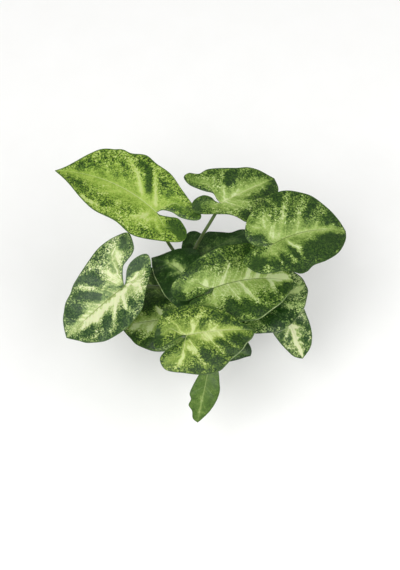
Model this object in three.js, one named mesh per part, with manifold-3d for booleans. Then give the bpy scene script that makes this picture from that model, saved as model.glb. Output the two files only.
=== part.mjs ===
// Arrowhead plant: fourteen variegated, arrow-shaped leaves on thin stalks, in a thin plastic nursery pot.
//
// Millimetres, +Z up. The origin is the centre of the pot's flat underside. +X is to the plant's right,
// and +Y is to its back.
//
// Each leaf blade is modelled in its own frame: x runs along the midrib from the stalk's joint to the
// tip, y runs to the left of it and z is the blade's upper side.

import * as THREE from 'three';
import { mergeVertices } from 'three/addons/utils/BufferGeometryUtils.js';
import Module from 'manifold-3d';

const wasm = await Module();
wasm.setup();

// ---------------------------------------------------------------------------------------------------
// Driving dimensions
// ---------------------------------------------------------------------------------------------------

const GAP = 0.3; // clearance between two pieces that touch

const POT = {
  height: 80,
  baseRadius: 31,
  mouthRadius: 42, // outside of the wall at the top
  wall: 1.6,
  floor: 2,
  lipRadius: 45, // outside of the turned-down lip
  lipDepth: 8,
  lipGroove: 1.5, // open space between the wall and the lip
  lipRound: 0.8,
  drainCount: 5,
  drainRadius: 4,
  drainCircle: 20,
  drainSegments: 16,
  segments: 48,
};

const SOIL = {
  surface: 70, // height of the soil at the wall
  crown: 2, // how much higher it is in the middle
  segments: 32,
};

const STEM = {
  footRadius: 3.4,
  headRadius: 2.6,
  rootedDepth: 15,
  sides: 12,
};

// Where each stem leaves the soil, where its head is, and how high that is.
const STEMS = {
  back: { foot: [-11, 12], head: [-14, 14], top: 106 },
  left: { foot: [-14, -6], head: [-18, -8], top: 98 },
  front: { foot: [0, -17], head: [-1, -21], top: 98 },
  right: { foot: [15, 0], head: [19, 1], top: 104 },
};

const BLADE = {
  thickness: 0.6,
  midribSpans: 7, // rows of faces along the midrib
  lobeSpans: 4, // rows of faces along each lobe's vein
  rings: 3, // faces from a vein to the margin
  shoulderSlope: 0.5, // the first side vein leaves the stalk's joint at this slope
  lobeMiddle: 0.35, // place of a lobe's vein, as a share of the way from its inner to its outer margin
  foldRound: 4, // half-width of the rounded valley along the midrib
  width: 0.9, // a blade's width as a share of its midrib
  curveSteps: 12, // steps between two outline points
};

const STALK = {
  sides: 8,
  steps: 12,
};

// The leaves. `joint` is where the stalk meets the blade, `heading` is the midrib's direction seen from
// above (0 is +X, 90 is +Y) and `pitch` is how far its tip is turned down. `arch`, `droop`, `fold` and
// `camber` bend the blade: along the midrib, along the lobes, up from the midrib and down to the
// margins. `bow` is the midrib's sideways curve. Each side's outline runs from the tip: `outer` ends at
// the lobe's end, and `inner` returns to the joint. `stalk` gives the stem, the height of its foot on
// that stem, its radius, and the two handles of its curve, as steps from its foot and from its top.
const LEAVES = {
  back_left: {
    joint: [-41, 33, 176], heading: 153, pitch: 0, length: 104,
    arch: 0.10, droop: 0.10, fold: 0.20, camber: 0.18, bow: -9,
    left: {
      outer: [[93, 4], [82, 9], [65, 18], [48, 24], [27, 25], [10, 30], [-2, 29], [-15, 25], [-27, 20],
        [-34, 14]],
      inner: [[-33, 6], [-28, 1], [-20, -3], [-12, -1], [-4, 1]],
    },
    right: {
      outer: [[96, -8], [83, -26], [73, -35], [57, -41], [47, -41], [34, -45], [21, -41], [5, -37],
        [-11, -28], [-24, -21], [-35, -16]],
      inner: [[-37, -11], [-31, -7], [-21, -5], [-12, -6], [-4, -4]],
    },
    stalk: { stem: 'back', foot: 98, radius: 1.7, start: [-13, 5, 40], end: [4, -13, -24] },
  },
  back: {
    joint: [15, 38, 183], heading: 32, pitch: 2, length: 57,
    arch: 0.14, droop: 0.10, fold: 0.28, camber: 0.20, bow: 0,
    left: {
      outer: [[53, 6], [48, 13], [40, 19], [30, 22], [19, 28], [7, 33], [-2, 33], [-9, 38]],
      inner: [[-15, 37], [-15, 29], [-11, 22], [-6, 16], [-1, 11], [-1, 5]],
    },
    right: {
      outer: [[53, -12], [41, -23], [25, -31], [14, -32], [7, -28], [4, -21], [-1, -14], [-9, -8], [-20, 0],
        [-24, 5]],
      inner: [[-23, 11], [-18, 14], [-11, 14], [-7, 12], [-4, 8], [-3, 4]],
    },
    stalk: { stem: 'back', foot: 92, radius: 1.8, start: [0.5, 3, 36], end: [-12, -18, -16] },
  },
  back_right: {
    joint: [59, -5, 192], heading: 17, pitch: 5, length: 68,
    arch: 0.15, droop: 0.20, fold: 0.26, camber: 0.30, bow: 5,
    left: {
      outer: [[65, 11], [59, 23], [49, 35], [41, 41], [32, 45], [21, 46], [11, 44], [-3, 36], [-13, 29]],
      inner: [[-19, 20], [-21, 11], [-16, 5], [-7, 3]],
    },
    right: {
      outer: [[64, -9], [53, -20], [39, -26], [26, -28], [19, -32], [12, -33], [5, -29], [-1, -27], [-9, -26],
        [-17, -25], [-24, -21]],
      inner: [[-29, -13], [-29, -8], [-24, -4], [-15, -1], [-7, -1]],
    },
    stalk: { stem: 'right', foot: 96, radius: 1.8, start: [14, -2, 26], end: [-8, 40, -24] },
  },
  centre: {
    joint: [9, -31, 158], heading: 10, pitch: 1, length: 72,
    arch: 0.18, droop: 0.10, fold: 0.26, camber: 0.22, bow: 4,
    left: {
      outer: [[71, 7], [65, 16], [55, 25], [46, 33], [36, 37], [25, 37], [12, 36], [1, 32], [-7, 29],
        [-18, 23], [-27, 16], [-34, 10]],
      inner: [[-37, 4], [-34, -4], [-26, -8], [-16, -5], [-8, -2], [-4, 1]],
    },
    right: {
      outer: [[71, -4], [66, -11], [55, -22], [44, -29], [33, -35], [24, -36], [13, -35], [3, -31],
        [-7, -27], [-19, -20]],
      inner: [[-24, -14], [-22, -9], [-15, -7], [-8, -6], [-4, -5]],
    },
    stalk: { stem: 'right', foot: 91, radius: 1.8, start: [-8, -8, 28], end: [-16, -3, -22] },
  },
  front: {
    joint: [-14, -80, 174], heading: 9, pitch: 2, length: 59,
    arch: 0.20, droop: 0.25, fold: 0.14, camber: 0.30, bow: 1,
    left: {
      outer: [[50, 6], [41, 14], [32, 20], [17, 25], [5, 27], [-7, 25], [-17, 22], [-24, 11]],
      inner: [[-27, 1], [-28, -6], [-23, -8], [-14, -5], [-5, -1]],
    },
    right: {
      outer: [[55, -7], [49, -12], [44, -18], [35, -24], [28, -30], [21, -34], [7, -35], [-7, -32],
        [-21, -27]],
      inner: [[-25, -18], [-21, -12], [-13, -8], [-5, -5]],
    },
    stalk: { stem: 'front', foot: 86, radius: 1.8, start: [-9, -24, 34], end: [-13, 6, -26] },
  },
  left: {
    joint: [-69, -27, 152], heading: -144, pitch: 15, length: 69,
    arch: 0.15, droop: 0.10, fold: 0.30, camber: 0.22, bow: 0,
    left: {
      outer: [[67, 3], [61, 11], [55, 19], [43, 28], [30, 32], [21, 33], [12, 32], [-1, 28], [-7, 23],
        [-14, 16], [-25, 6], [-32, -4]],
      inner: [[-33, -10], [-27, -13], [-18, -13], [-11, -10], [-4, -3]],
    },
    right: {
      outer: [[65, -8], [60, -15], [51, -22], [42, -26], [35, -30], [25, -33], [10, -38], [-1, -41],
        [-13, -41], [-24, -39], [-30, -37]],
      inner: [[-32, -33], [-28, -22], [-23, -18], [-16, -16], [-10, -14], [-4, -7]],
    },
    stalk: { stem: 'left', foot: 93, radius: 1.8, start: [-7, -4, 32], end: [20, 6, -16] },
  },
  inner_left: {
    joint: [-15, -14, 140], heading: 142, pitch: 8, length: 42,
    arch: 0.14, droop: 0.15, fold: 0.22, camber: 0.25, bow: -3,
    left: {
      outer: [[34, 8], [25, 15], [13, 21], [4, 25], [-8, 27], [-16, 27]],
      inner: [[-21, 22], [-21, 14], [-15, 7], [-7, 3]],
    },
    right: {
      outer: [[37, -5], [31, -13], [22, -22], [14, -27], [8, -27], [2, -24], [-4, -19]],
      inner: [[-8, -13], [-8, -6], [-5, -3]],
    },
    stalk: { stem: 'left', foot: 86, radius: 1.6, start: [6, 1, 20], end: [6, -3, -20] },
  },
  inner_back: {
    joint: [-4, 18, 118], heading: 30, pitch: -3, length: 61,
    arch: 0.15, droop: 0.15, fold: 0.25, camber: 0.25, bow: 0,
    left: {
      outer: [[54, 2], [47, 5], [37, 6], [30, 10], [20, 16], [14, 16], [9, 22], [3, 24], [-4, 21]],
      inner: [[-9, 16], [-11, 12], [-8, 9.5], [-3, 9], [0, 5]],
    },
    right: {
      outer: [[57, -9], [50, -17], [38, -23], [25, -25], [14, -23], [4, -19], [-5, -14]],
      inner: [[-10, -10], [-11, -6], [-8, -3], [-4, -3]],
    },
    stalk: { stem: 'back', foot: 84, radius: 1.6, start: [8, 1, 12], end: [2, -4, -14] },
  },
  low_left: {
    joint: [-30, -43, 114], heading: -178, pitch: 6, length: 47,
    arch: 0.20, droop: 0.15, fold: 0.20, camber: 0.25, bow: 0,
    left: {
      outer: [[41, 9], [37, 14], [31, 21], [19, 28], [10, 30], [-1, 29], [-9, 25]],
      inner: [[-14, 18], [-12, 11], [-6, 5]],
    },
    right: {
      outer: [[45, -7], [39, -14], [31, -18], [22, -21], [13, -21], [3, -20], [-6, -19]],
      inner: [[-13, -14], [-14, -8], [-7, -2]],
    },
    stalk: { stem: 'left', foot: 86, radius: 1.6, start: [-4, -12, 20], end: [10, 3, -12] },
  },
  low_centre: {
    joint: [-36, -13, 94], heading: 137, pitch: 3, length: 50,
    arch: 0.15, droop: 0.15, fold: 0.20, camber: 0.25, bow: 0,
    left: {
      outer: [[42, 9], [30, 17], [18, 20], [7, 18], [-3, 14]],
      inner: [[-10, 9], [-10, 4], [-5, 2]],
    },
    right: {
      outer: [[43, -7], [33, -13], [22, -16], [11, -16], [0, -14]],
      inner: [[-5, -10], [-7, -6], [-4, -2]],
    },
    stalk: { stem: 'left', foot: 78, radius: 1.5, start: [-6, 0, 12], end: [6, -2, -10] },
  },
  right: {
    joint: [48, -40, 134], heading: 32, pitch: 4, length: 54,
    arch: 0.20, droop: 0.20, fold: 0.24, camber: 0.34, bow: 0,
    left: {
      outer: [[55, 7], [52, 14], [47, 20], [36, 25], [23, 27], [11, 26], [0, 23]],
      inner: [[-8, 17], [-8, 11], [-4, 5]],
    },
    right: {
      outer: [[52, -6], [44, -14], [37, -20], [26, -25], [17, -28], [9, -29], [2, -28], [-7, -24],
        [-16, -19]],
      inner: [[-20, -12], [-20, -5], [-14, 0], [-7, 1]],
    },
    stalk: { stem: 'right', foot: 85, radius: 1.7, start: [4, -14, 24], end: [-12, 6, -16] },
  },
  low_right: {
    joint: [75, -35, 102], heading: -61, pitch: 31, length: 46,
    arch: 0.15, droop: 0.15, fold: 0.28, camber: 0.25, bow: 1,
    left: {
      outer: [[43, 5], [39, 10], [31, 15], [22, 17], [10, 18], [1, 18]],
      inner: [[-5, 13], [-6, 6], [-3, 3]],
    },
    right: {
      outer: [[42, -5], [37, -9], [27, -13], [18, -16], [8, -18], [-1, -17]],
      inner: [[-7, -12], [-8, -6], [-4, -3]],
    },
    stalk: { stem: 'right', foot: 77, radius: 1.5, start: [14, -1, 22], end: [-16, 12, 8] },
  },
  low_front: {
    joint: [8, -65, 106], heading: -10, pitch: 10, length: 37,
    arch: 0.15, droop: 0.15, fold: 0.20, camber: 0.30, bow: 0,
    left: {
      outer: [[37, 5], [33, 11], [25, 17], [15, 19], [5, 17]],
      inner: [[-2, 12], [-6, 6], [-3, 3]],
    },
    right: {
      outer: [[32, -3], [26, -7], [15, -13], [7, -16], [-2, -17]],
      inner: [[-7, -12], [-7, -6], [-3, -3]],
    },
    stalk: { stem: 'front', foot: 80, radius: 1.5, start: [10, -6, 20], end: [-4, 14, -4] },
  },
  young_front: {
    joint: [5, -84, 96], heading: -104, pitch: 26, length: 52,
    arch: 0.20, droop: 0.10, fold: 0.25, camber: 0.25, bow: 0,
    left: {
      outer: [[48, 3], [38, 9], [27, 13], [17, 14], [9, 12], [0, 9]],
      inner: [[-3, 5]],
    },
    right: {
      outer: [[49, -5], [42, -7], [37, -11], [31, -10], [27, -12], [23, -12], [15, -10], [8, -8], [0, -6]],
      inner: [[-3, -3]],
    },
    stalk: { stem: 'front', foot: 76, radius: 1.2, start: [-2, -18, 26], end: [-2, 24, 8] },
  },
};

const GREEN = new THREE.MeshStandardMaterial({ color: 0x5f8f2f, roughness: 0.45, metalness: 0 });
const DARK_GREEN = new THREE.MeshStandardMaterial({ color: 0x2f5a2a, roughness: 0.4, metalness: 0 });
const YOUNG_GREEN = new THREE.MeshStandardMaterial({ color: 0x6fa03a, roughness: 0.5, metalness: 0 });
const STALK_GREEN = new THREE.MeshStandardMaterial({ color: 0x6a7a3a, roughness: 0.5, metalness: 0 });
const STEM_GREEN = new THREE.MeshStandardMaterial({ color: 0x7a7a45, roughness: 0.6, metalness: 0 });
const SOIL_BROWN = new THREE.MeshStandardMaterial({ color: 0x33251a, roughness: 0.95, metalness: 0 });
const POT_BLACK = new THREE.MeshStandardMaterial({ color: 0x1d2120, roughness: 0.6, metalness: 0 });

const BLADE_MATERIALS = {
  inner_left: DARK_GREEN,
  inner_back: DARK_GREEN,
  low_centre: DARK_GREEN,
  low_front: DARK_GREEN,
  right: DARK_GREEN,
  young_front: YOUNG_GREEN,
};

// ---------------------------------------------------------------------------------------------------
// Shared helpers
// ---------------------------------------------------------------------------------------------------

/** A named mesh for one piece. */
function piece(name, geometry, material) {
  const mesh = new THREE.Mesh(geometry, material);
  mesh.name = name;
  return mesh;
}

/** A manifold solid from a closed three.js geometry, moved by a matrix. */
function toSolid(geometry, matrix = new THREE.Matrix4()) {
  const bare = geometry.clone().applyMatrix4(matrix);
  bare.deleteAttribute('normal');
  bare.deleteAttribute('uv');
  const merged = mergeVertices(bare);
  return new wasm.Manifold(new wasm.Mesh({
    numProp: 3,
    vertProperties: new Float32Array(merged.attributes.position.array),
    triVerts: new Uint32Array(merged.index.array),
  }));
}

/** The three.js geometry of a manifold solid. */
function fromSolid(solid) {
  const mesh = solid.getMesh();
  const geometry = new THREE.BufferGeometry();
  geometry.setAttribute('position', new THREE.BufferAttribute(mesh.vertProperties, 3));
  geometry.setIndex(new THREE.BufferAttribute(mesh.triVerts, 1));
  return geometry;
}

/** A solid turned about +Z from a profile of [radius, height] points. */
function turned(profile, segments) {
  const lathe = new THREE.LatheGeometry(profile.map(([r, z]) => new THREE.Vector2(r, z)), segments);
  return lathe.rotateX(Math.PI / 2);
}

/** The matrix that lays a cylinder's own axis, +Y, along the line between two points. */
function alongLine(from, to) {
  const axis = to.clone().sub(from).normalize();
  const turn = new THREE.Quaternion().setFromUnitVectors(new THREE.Vector3(0, 1, 0), axis);
  const middle = from.clone().lerp(to, 0.5);
  return new THREE.Matrix4().compose(middle, turn, new THREE.Vector3(1, 1, 1));
}

// ---------------------------------------------------------------------------------------------------
// Pot and soil
// ---------------------------------------------------------------------------------------------------

/** The outer radius of the pot's tapered wall at a height. */
function potRadius(z) {
  return THREE.MathUtils.lerp(POT.baseRadius, POT.mouthRadius, z / POT.height);
}

/** The pot: a tapered cup with a turned-down lip and drain holes round the middle of its floor. */
function potGeometry() {
  const top = POT.height;
  const lipFoot = top - POT.lipDepth;
  const lipRoof = top - POT.wall;
  const lipInside = POT.mouthRadius + POT.lipGroove;
  let cup = toSolid(turned([
    [0, 0],
    [POT.baseRadius, 0],
    [potRadius(lipRoof), lipRoof],
    [lipInside, lipRoof],
    [lipInside, lipFoot],
    [POT.lipRadius, lipFoot],
    [POT.lipRadius, top - POT.lipRound],
    [POT.lipRadius - POT.lipRound, top],
    [POT.mouthRadius - POT.wall, top],
    [potRadius(POT.floor) - POT.wall, POT.floor],
    [0, POT.floor],
  ], POT.segments));
  for (let i = 0; i < POT.drainCount; i += 1) {
    const angle = (i / POT.drainCount) * 2 * Math.PI;
    const x = POT.drainCircle * Math.cos(angle);
    const y = POT.drainCircle * Math.sin(angle);
    const drill = new THREE.CylinderGeometry(
      POT.drainRadius,
      POT.drainRadius,
      3 * POT.floor,
      POT.drainSegments,
    );
    cup = cup.subtract(toSolid(drill, alongLine(
      new THREE.Vector3(x, y, -POT.floor),
      new THREE.Vector3(x, y, 2 * POT.floor),
    )));
  }
  return fromSolid(cup);
}

/** The two ends of a stem's axis: below the soil and at its head. */
function stemEnds(stem) {
  const [footX, footY] = stem.foot;
  const [headX, headY] = stem.head;
  return [
    new THREE.Vector3(footX, footY, SOIL.surface - STEM.rootedDepth),
    new THREE.Vector3(headX, headY, stem.top),
  ];
}

/** A stem as a tapered rod, made thicker all round by `extra`. */
function stemRod(stem, extra = 0) {
  const [low, high] = stemEnds(stem);
  return new THREE.CylinderGeometry(
    STEM.headRadius + extra,
    STEM.footRadius + extra,
    low.distanceTo(high) + 2 * extra,
    STEM.sides,
  );
}

/** The soil and roots: a plug that fills the pot, with a socket for each stem. */
function soilGeometry() {
  const bottom = POT.floor + GAP;
  const fit = POT.wall + GAP;
  let plug = toSolid(turned([
    [0, bottom],
    [potRadius(bottom) - fit, bottom],
    [potRadius(SOIL.surface) - fit, SOIL.surface],
    [0, SOIL.surface + SOIL.crown],
  ], SOIL.segments));
  for (const stem of Object.values(STEMS)) {
    plug = plug.subtract(toSolid(stemRod(stem, GAP), alongLine(...stemEnds(stem))));
  }
  return fromSolid(plug);
}

// ---------------------------------------------------------------------------------------------------
// Leaf blades
// ---------------------------------------------------------------------------------------------------

/** The sideways place of the midrib at a distance from the stalk's joint. */
function midribY(leaf, x) {
  const share = THREE.MathUtils.clamp(x / leaf.length, 0, 1);
  return 4 * leaf.bow * share * (1 - share);
}

/** The height of the blade's middle surface over its own frame's plane. */
function bladeHeight(leaf, x, y) {
  const across = y - midribY(leaf, x);
  const along = (x > 0 ? leaf.arch : leaf.droop) * x * x / leaf.length;
  const valley = leaf.fold * (Math.hypot(across, BLADE.foldRound) - BLADE.foldRound);
  const margin = leaf.camber * across * across / (BLADE.width * leaf.length);
  return valley - along - margin;
}

/** Points at even distances along part of a polyline, both ends included. */
function evenly(points, count) {
  const reach = [0];
  for (let i = 1; i < points.length; i += 1) {
    reach.push(reach[i - 1] + points[i].distanceTo(points[i - 1]));
  }
  const total = reach[reach.length - 1];
  const picked = [];
  let at = 1;
  for (let i = 0; i <= count; i += 1) {
    const wanted = (i / count) * total;
    while (at < points.length - 1 && reach[at] < wanted) {
      at += 1;
    }
    const share = (wanted - reach[at - 1]) / (reach[at] - reach[at - 1]);
    picked.push(points[at - 1].clone().lerp(points[at], share));
  }
  return picked;
}

/**
 * The rays of one side of a blade, as pairs of a place on a vein and a place on the margin. They leave
 * the midrib from the tip to the joint, run out along the middle of the lobe and come back along it.
 */
function sideRays(leaf, side) {
  const corners = [[leaf.length, 0], ...side.outer, ...side.inner, [0, 0]];
  const curve = new THREE.SplineCurve(corners.map(([x, y]) => new THREE.Vector2(x, y)));
  const outline = curve.getPoints((corners.length - 1) * BLADE.curveSteps);
  const lobeAt = side.outer.length * BLADE.curveSteps;
  const shoulderAt = outline.findIndex((p) => p.x <= BLADE.shoulderSlope * Math.abs(p.y));

  const blade = evenly(outline.slice(0, shoulderAt + 1), BLADE.midribSpans);
  const outer = evenly(outline.slice(shoulderAt, lobeAt + 1), BLADE.lobeSpans);
  const inner = evenly(outline.slice(lobeAt), BLADE.lobeSpans).reverse();
  const vein = outer.map((margin, i) => inner[i].clone().lerp(margin, i ? BLADE.lobeMiddle : 0));

  const midribRays = blade.map((margin, i) => {
    const x = leaf.length * (1 - i / BLADE.midribSpans);
    return [new THREE.Vector2(x, midribY(leaf, x)), margin];
  });
  const outRays = outer.map((margin, i) => [vein[i], margin]);
  const backRays = inner.map((margin, i) => [vein[i], margin]).reverse();
  return [...midribRays, ...outRays.slice(1), ...backRays.slice(1)];
}

/** A leaf blade: a thin curved sheet whose faces follow its veins, closed by a rim round its margin. */
function bladeGeometry(leaf) {
  const places = [];
  const indexOf = new Map();
  const vertex = (p) => {
    const key = `${p.x.toFixed(3)},${p.y.toFixed(3)}`;
    if (!indexOf.has(key)) {
      indexOf.set(key, places.length);
      places.push(p);
    }
    return indexOf.get(key);
  };

  const top = [];
  const face = (a, b, c) => {
    if (a !== b && b !== c && c !== a) {
      top.push([a, b, c]);
    }
  };
  for (const [side, leftHand] of [[leaf.left, true], [leaf.right, false]]) {
    const rays = sideRays(leaf, side).map(([vein, margin]) => {
      const ring = [];
      for (let r = 0; r <= BLADE.rings; r += 1) {
        ring.push(vertex(vein.clone().lerp(margin, r / BLADE.rings)));
      }
      return ring;
    });
    for (let j = 0; j + 1 < rays.length; j += 1) {
      for (let r = 0; r < BLADE.rings; r += 1) {
        const [a, b, c, d] = [rays[j][r], rays[j][r + 1], rays[j + 1][r + 1], rays[j + 1][r]];
        if (leftHand) {
          face(a, b, c);
          face(a, c, d);
        } else {
          face(a, c, b);
          face(a, d, c);
        }
      }
    }
  }

  const count = places.length;
  const triangles = [];
  const edges = new Set(top.flatMap(([a, b, c]) => [`${a},${b}`, `${b},${c}`, `${c},${a}`]));
  for (const [a, b, c] of top) {
    triangles.push(a, b, c, a + count, c + count, b + count);
    for (const [u, v] of [[a, b], [b, c], [c, a]]) {
      if (!edges.has(`${v},${u}`)) {
        triangles.push(v, u, u + count, v, u + count, v + count);
      }
    }
  }

  const positions = [];
  for (const half of [BLADE.thickness / 2, -BLADE.thickness / 2]) {
    for (const { x, y } of places) {
      positions.push(x, y, bladeHeight(leaf, x, y) + half);
    }
  }
  const geometry = new THREE.BufferGeometry();
  geometry.setAttribute('position', new THREE.Float32BufferAttribute(positions, 3));
  geometry.setIndex(triangles);
  return geometry;
}

/** Places a blade by its joint and turns it by its heading and pitch. */
function placeBlade(mesh, leaf) {
  mesh.rotation.order = 'ZYX';
  mesh.rotation.set(0, THREE.MathUtils.degToRad(leaf.pitch), THREE.MathUtils.degToRad(leaf.heading));
  mesh.position.set(...leaf.joint);
}

// ---------------------------------------------------------------------------------------------------
// Stalks
// ---------------------------------------------------------------------------------------------------

/** The centre line of a leaf's stalk, from beside its stem to just under its blade. */
function stalkCurve(leaf, bladeUp) {
  const { stem, foot, radius, start, end } = leaf.stalk;
  const [low, high] = stemEnds(STEMS[stem]);
  const share = (foot - low.z) / (high.z - low.z);
  const onAxis = low.clone().lerp(high, share);
  const stemRadius = THREE.MathUtils.lerp(STEM.footRadius, STEM.headRadius, share);
  const joint = new THREE.Vector3(...leaf.joint);
  const outward = new THREE.Vector3(...start).setZ(0).normalize();
  const from = onAxis.addScaledVector(outward, stemRadius + GAP + radius);

  const arrival = new THREE.Vector3(...end).negate().normalize();
  const tilt = Math.sqrt(Math.max(0, 1 - arrival.dot(bladeUp) ** 2));
  const to = joint.addScaledVector(bladeUp, -(BLADE.thickness / 2 + GAP + radius * tilt));
  return new THREE.CubicBezierCurve3(
    from,
    from.clone().add(new THREE.Vector3(...start)),
    to.clone().add(new THREE.Vector3(...end)),
    to,
  );
}

/** A leaf's stalk: a round rod along its curve. */
function stalkGeometry(leaf, bladeUp) {
  const corners = Array.from({ length: STALK.sides }, (_, i) => {
    const angle = (i / STALK.sides) * 2 * Math.PI;
    return new THREE.Vector2(Math.cos(angle), Math.sin(angle)).multiplyScalar(leaf.stalk.radius);
  });
  return new THREE.ExtrudeGeometry(new THREE.Shape(corners), {
    steps: STALK.steps,
    extrudePath: stalkCurve(leaf, bladeUp),
    curveSegments: STALK.sides,
  });
}

// ---------------------------------------------------------------------------------------------------
// The plant
// ---------------------------------------------------------------------------------------------------

const plant = new THREE.Group();
plant.add(piece('nursery_pot', potGeometry(), POT_BLACK));
plant.add(piece('soil_root_ball', soilGeometry(), SOIL_BROWN));

for (const [name, stem] of Object.entries(STEMS)) {
  const rod = piece(`stem_${name}`, stemRod(stem), STEM_GREEN);
  rod.applyMatrix4(alongLine(...stemEnds(stem)));
  plant.add(rod);
}

for (const [name, leaf] of Object.entries(LEAVES)) {
  const blade = piece(`leaf_${name}`, bladeGeometry(leaf), BLADE_MATERIALS[name] ?? GREEN);
  placeBlade(blade, leaf);
  plant.add(blade);
  const bladeUp = new THREE.Vector3(0, 0, 1).applyEuler(blade.rotation);
  plant.add(piece(`stalk_${name}`, stalkGeometry(leaf, bladeUp), STALK_GREEN));
}

export default plant;
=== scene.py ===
"""Arrowhead plant: variegated, arrow-shaped leaves on thin stalks over a small nursery pot.

Sizes are in millimetres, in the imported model's own frame: +Z is up, +X is to the plant's right
and +Y is to its back. A mesh is turned into metres when it is made.
"""

import logging
import math
from dataclasses import dataclass, field
from enum import Enum

import bpy
import numpy as np
from mathutils import Matrix, Vector, noise


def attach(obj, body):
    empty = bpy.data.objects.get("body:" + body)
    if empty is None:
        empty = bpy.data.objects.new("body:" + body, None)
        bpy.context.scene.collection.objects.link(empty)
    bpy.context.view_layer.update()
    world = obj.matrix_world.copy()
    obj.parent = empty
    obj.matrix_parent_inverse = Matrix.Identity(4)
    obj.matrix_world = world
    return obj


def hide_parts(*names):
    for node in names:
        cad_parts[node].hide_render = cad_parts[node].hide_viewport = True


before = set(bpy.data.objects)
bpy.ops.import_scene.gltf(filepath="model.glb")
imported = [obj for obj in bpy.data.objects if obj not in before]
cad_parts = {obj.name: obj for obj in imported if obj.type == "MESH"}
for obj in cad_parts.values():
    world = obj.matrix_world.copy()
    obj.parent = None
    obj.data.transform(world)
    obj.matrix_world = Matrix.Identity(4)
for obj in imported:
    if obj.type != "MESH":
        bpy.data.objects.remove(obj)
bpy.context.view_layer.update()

MM = 0.001
BODY = "root"
LOG = logging.getLogger("arrowhead_plant")

# A palette's colours are as the leaf looks in the light. Its paint is this much darker.
LEAF_SHARE = 0.76

Colour = tuple[float, float, float, float]
Pair = tuple[float, float]
Triple = tuple[float, float, float]
Faces = list[tuple[int, ...]]
Socket = bpy.types.NodeSocket
Value = Socket | float | Colour | Triple


# --------------------------------------------------------------------------------------------------
# Small helpers
# --------------------------------------------------------------------------------------------------


def paint(code: int, strength: float = 1.0) -> Colour:
    """A linear colour from a screen colour, by the standard screen curve.

    Args:
        code: The colour as 0xRRGGBB.
        strength: What its brightness is multiplied by.

    Returns:
        Linear red, green, blue and an alpha of 1.
    """
    shares = [((code >> shift) & 255) / 255 for shift in (16, 8, 0)]
    red, green, blue = (
        strength * (share / 12.92 if share <= 0.04045 else ((share + 0.055) / 1.055) ** 2.4)
        for share in shares
    )
    return (red, green, blue, 1.0)


def smooth(value: np.ndarray | float, low: float, high: float) -> np.ndarray | float:
    """A soft step from 0 at low to 1 at high."""
    share = np.clip((value - low) / (high - low), 0.0, 1.0)
    return share * share * (3 - 2 * share)


def unit(vector: np.ndarray) -> np.ndarray:
    """The vector at a length of 1."""
    return vector / np.linalg.norm(vector)


def make_object(name: str, mesh: bpy.types.Mesh) -> bpy.types.Object:
    """Puts a mesh into the scene as an object at the origin."""
    piece = bpy.data.objects.new(name, mesh)
    bpy.context.scene.collection.objects.link(piece)
    return piece


def make_mesh(name: str, points: np.ndarray, faces: Faces) -> bpy.types.Mesh:
    """A mesh from points in millimetres.

    Args:
        name: The mesh's name.
        points: One row of x, y and z for each vertex.
        faces: Vertex numbers of each face, anticlockwise seen from outside.

    Returns:
        The mesh, in metres.
    """
    mesh = bpy.data.meshes.new(name)
    mesh.from_pydata((points * MM).tolist(), [], faces)
    mesh.validate()
    return mesh


def make_line(name: str, points: np.ndarray) -> bpy.types.Mesh:
    """A mesh, in metres, of points in millimetres that are each joined to the next."""
    mesh = bpy.data.meshes.new(name)
    mesh.from_pydata((points * MM).tolist(), [(i, i + 1) for i in range(len(points) - 1)], [])
    return mesh


def soften(mesh: bpy.types.Mesh, sharp_from: float | None = None) -> None:
    """Shades a mesh smooth, apart from edges that turn by `sharp_from` degrees or more."""
    mesh.polygons.foreach_set("use_smooth", [True] * len(mesh.polygons))
    if sharp_from is not None:
        mesh.set_sharp_from_angle(angle=math.radians(sharp_from))


def apply_modifier(piece: bpy.types.Object, modifier: bpy.types.Modifier) -> None:
    """Gives a piece the mesh that its modifier makes, and takes the modifier away."""
    graph = bpy.context.evaluated_depsgraph_get()
    made = bpy.data.meshes.new_from_object(piece.evaluated_get(graph), depsgraph=graph)
    piece.modifiers.remove(modifier)
    piece.data = made
    made.name = piece.name


def finish_piece(piece: bpy.types.Object, slot: str, node: str | None = None) -> None:
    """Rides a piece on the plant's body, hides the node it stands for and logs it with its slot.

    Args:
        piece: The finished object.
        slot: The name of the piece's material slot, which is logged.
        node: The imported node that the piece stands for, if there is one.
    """
    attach(piece, BODY)
    if node is not None:
        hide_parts(node)
    LOG.info("%s: %d faces, slot %s", piece.name, len(piece.data.polygons), slot)


def turned(profile: list[Pair], segments: int) -> tuple[np.ndarray, Faces]:
    """A closed solid turned about +Z.

    Args:
        profile: Radius and height of each corner, from the axis round the outside to the axis.
        segments: Faces round the axis.

    Returns:
        The points and the faces.
    """
    angles = np.linspace(0, 2 * math.pi, segments, endpoint=False)
    points: list[Triple] = []
    rings: list[list[int]] = []
    for radius, height in profile:
        first = len(points)
        if radius == 0:
            points.append((0.0, 0.0, height))
            rings.append([first] * segments)
        else:
            points += [(radius * math.cos(a), radius * math.sin(a), height) for a in angles]
            rings.append(list(range(first, first + segments)))
    faces: Faces = []
    for low, high in zip(rings, rings[1:]):
        for i in range(segments):
            j = (i + 1) % segments
            faces.append(tuple(dict.fromkeys((low[i], low[j], high[j], high[i]))))
    return np.array(points), faces


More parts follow.
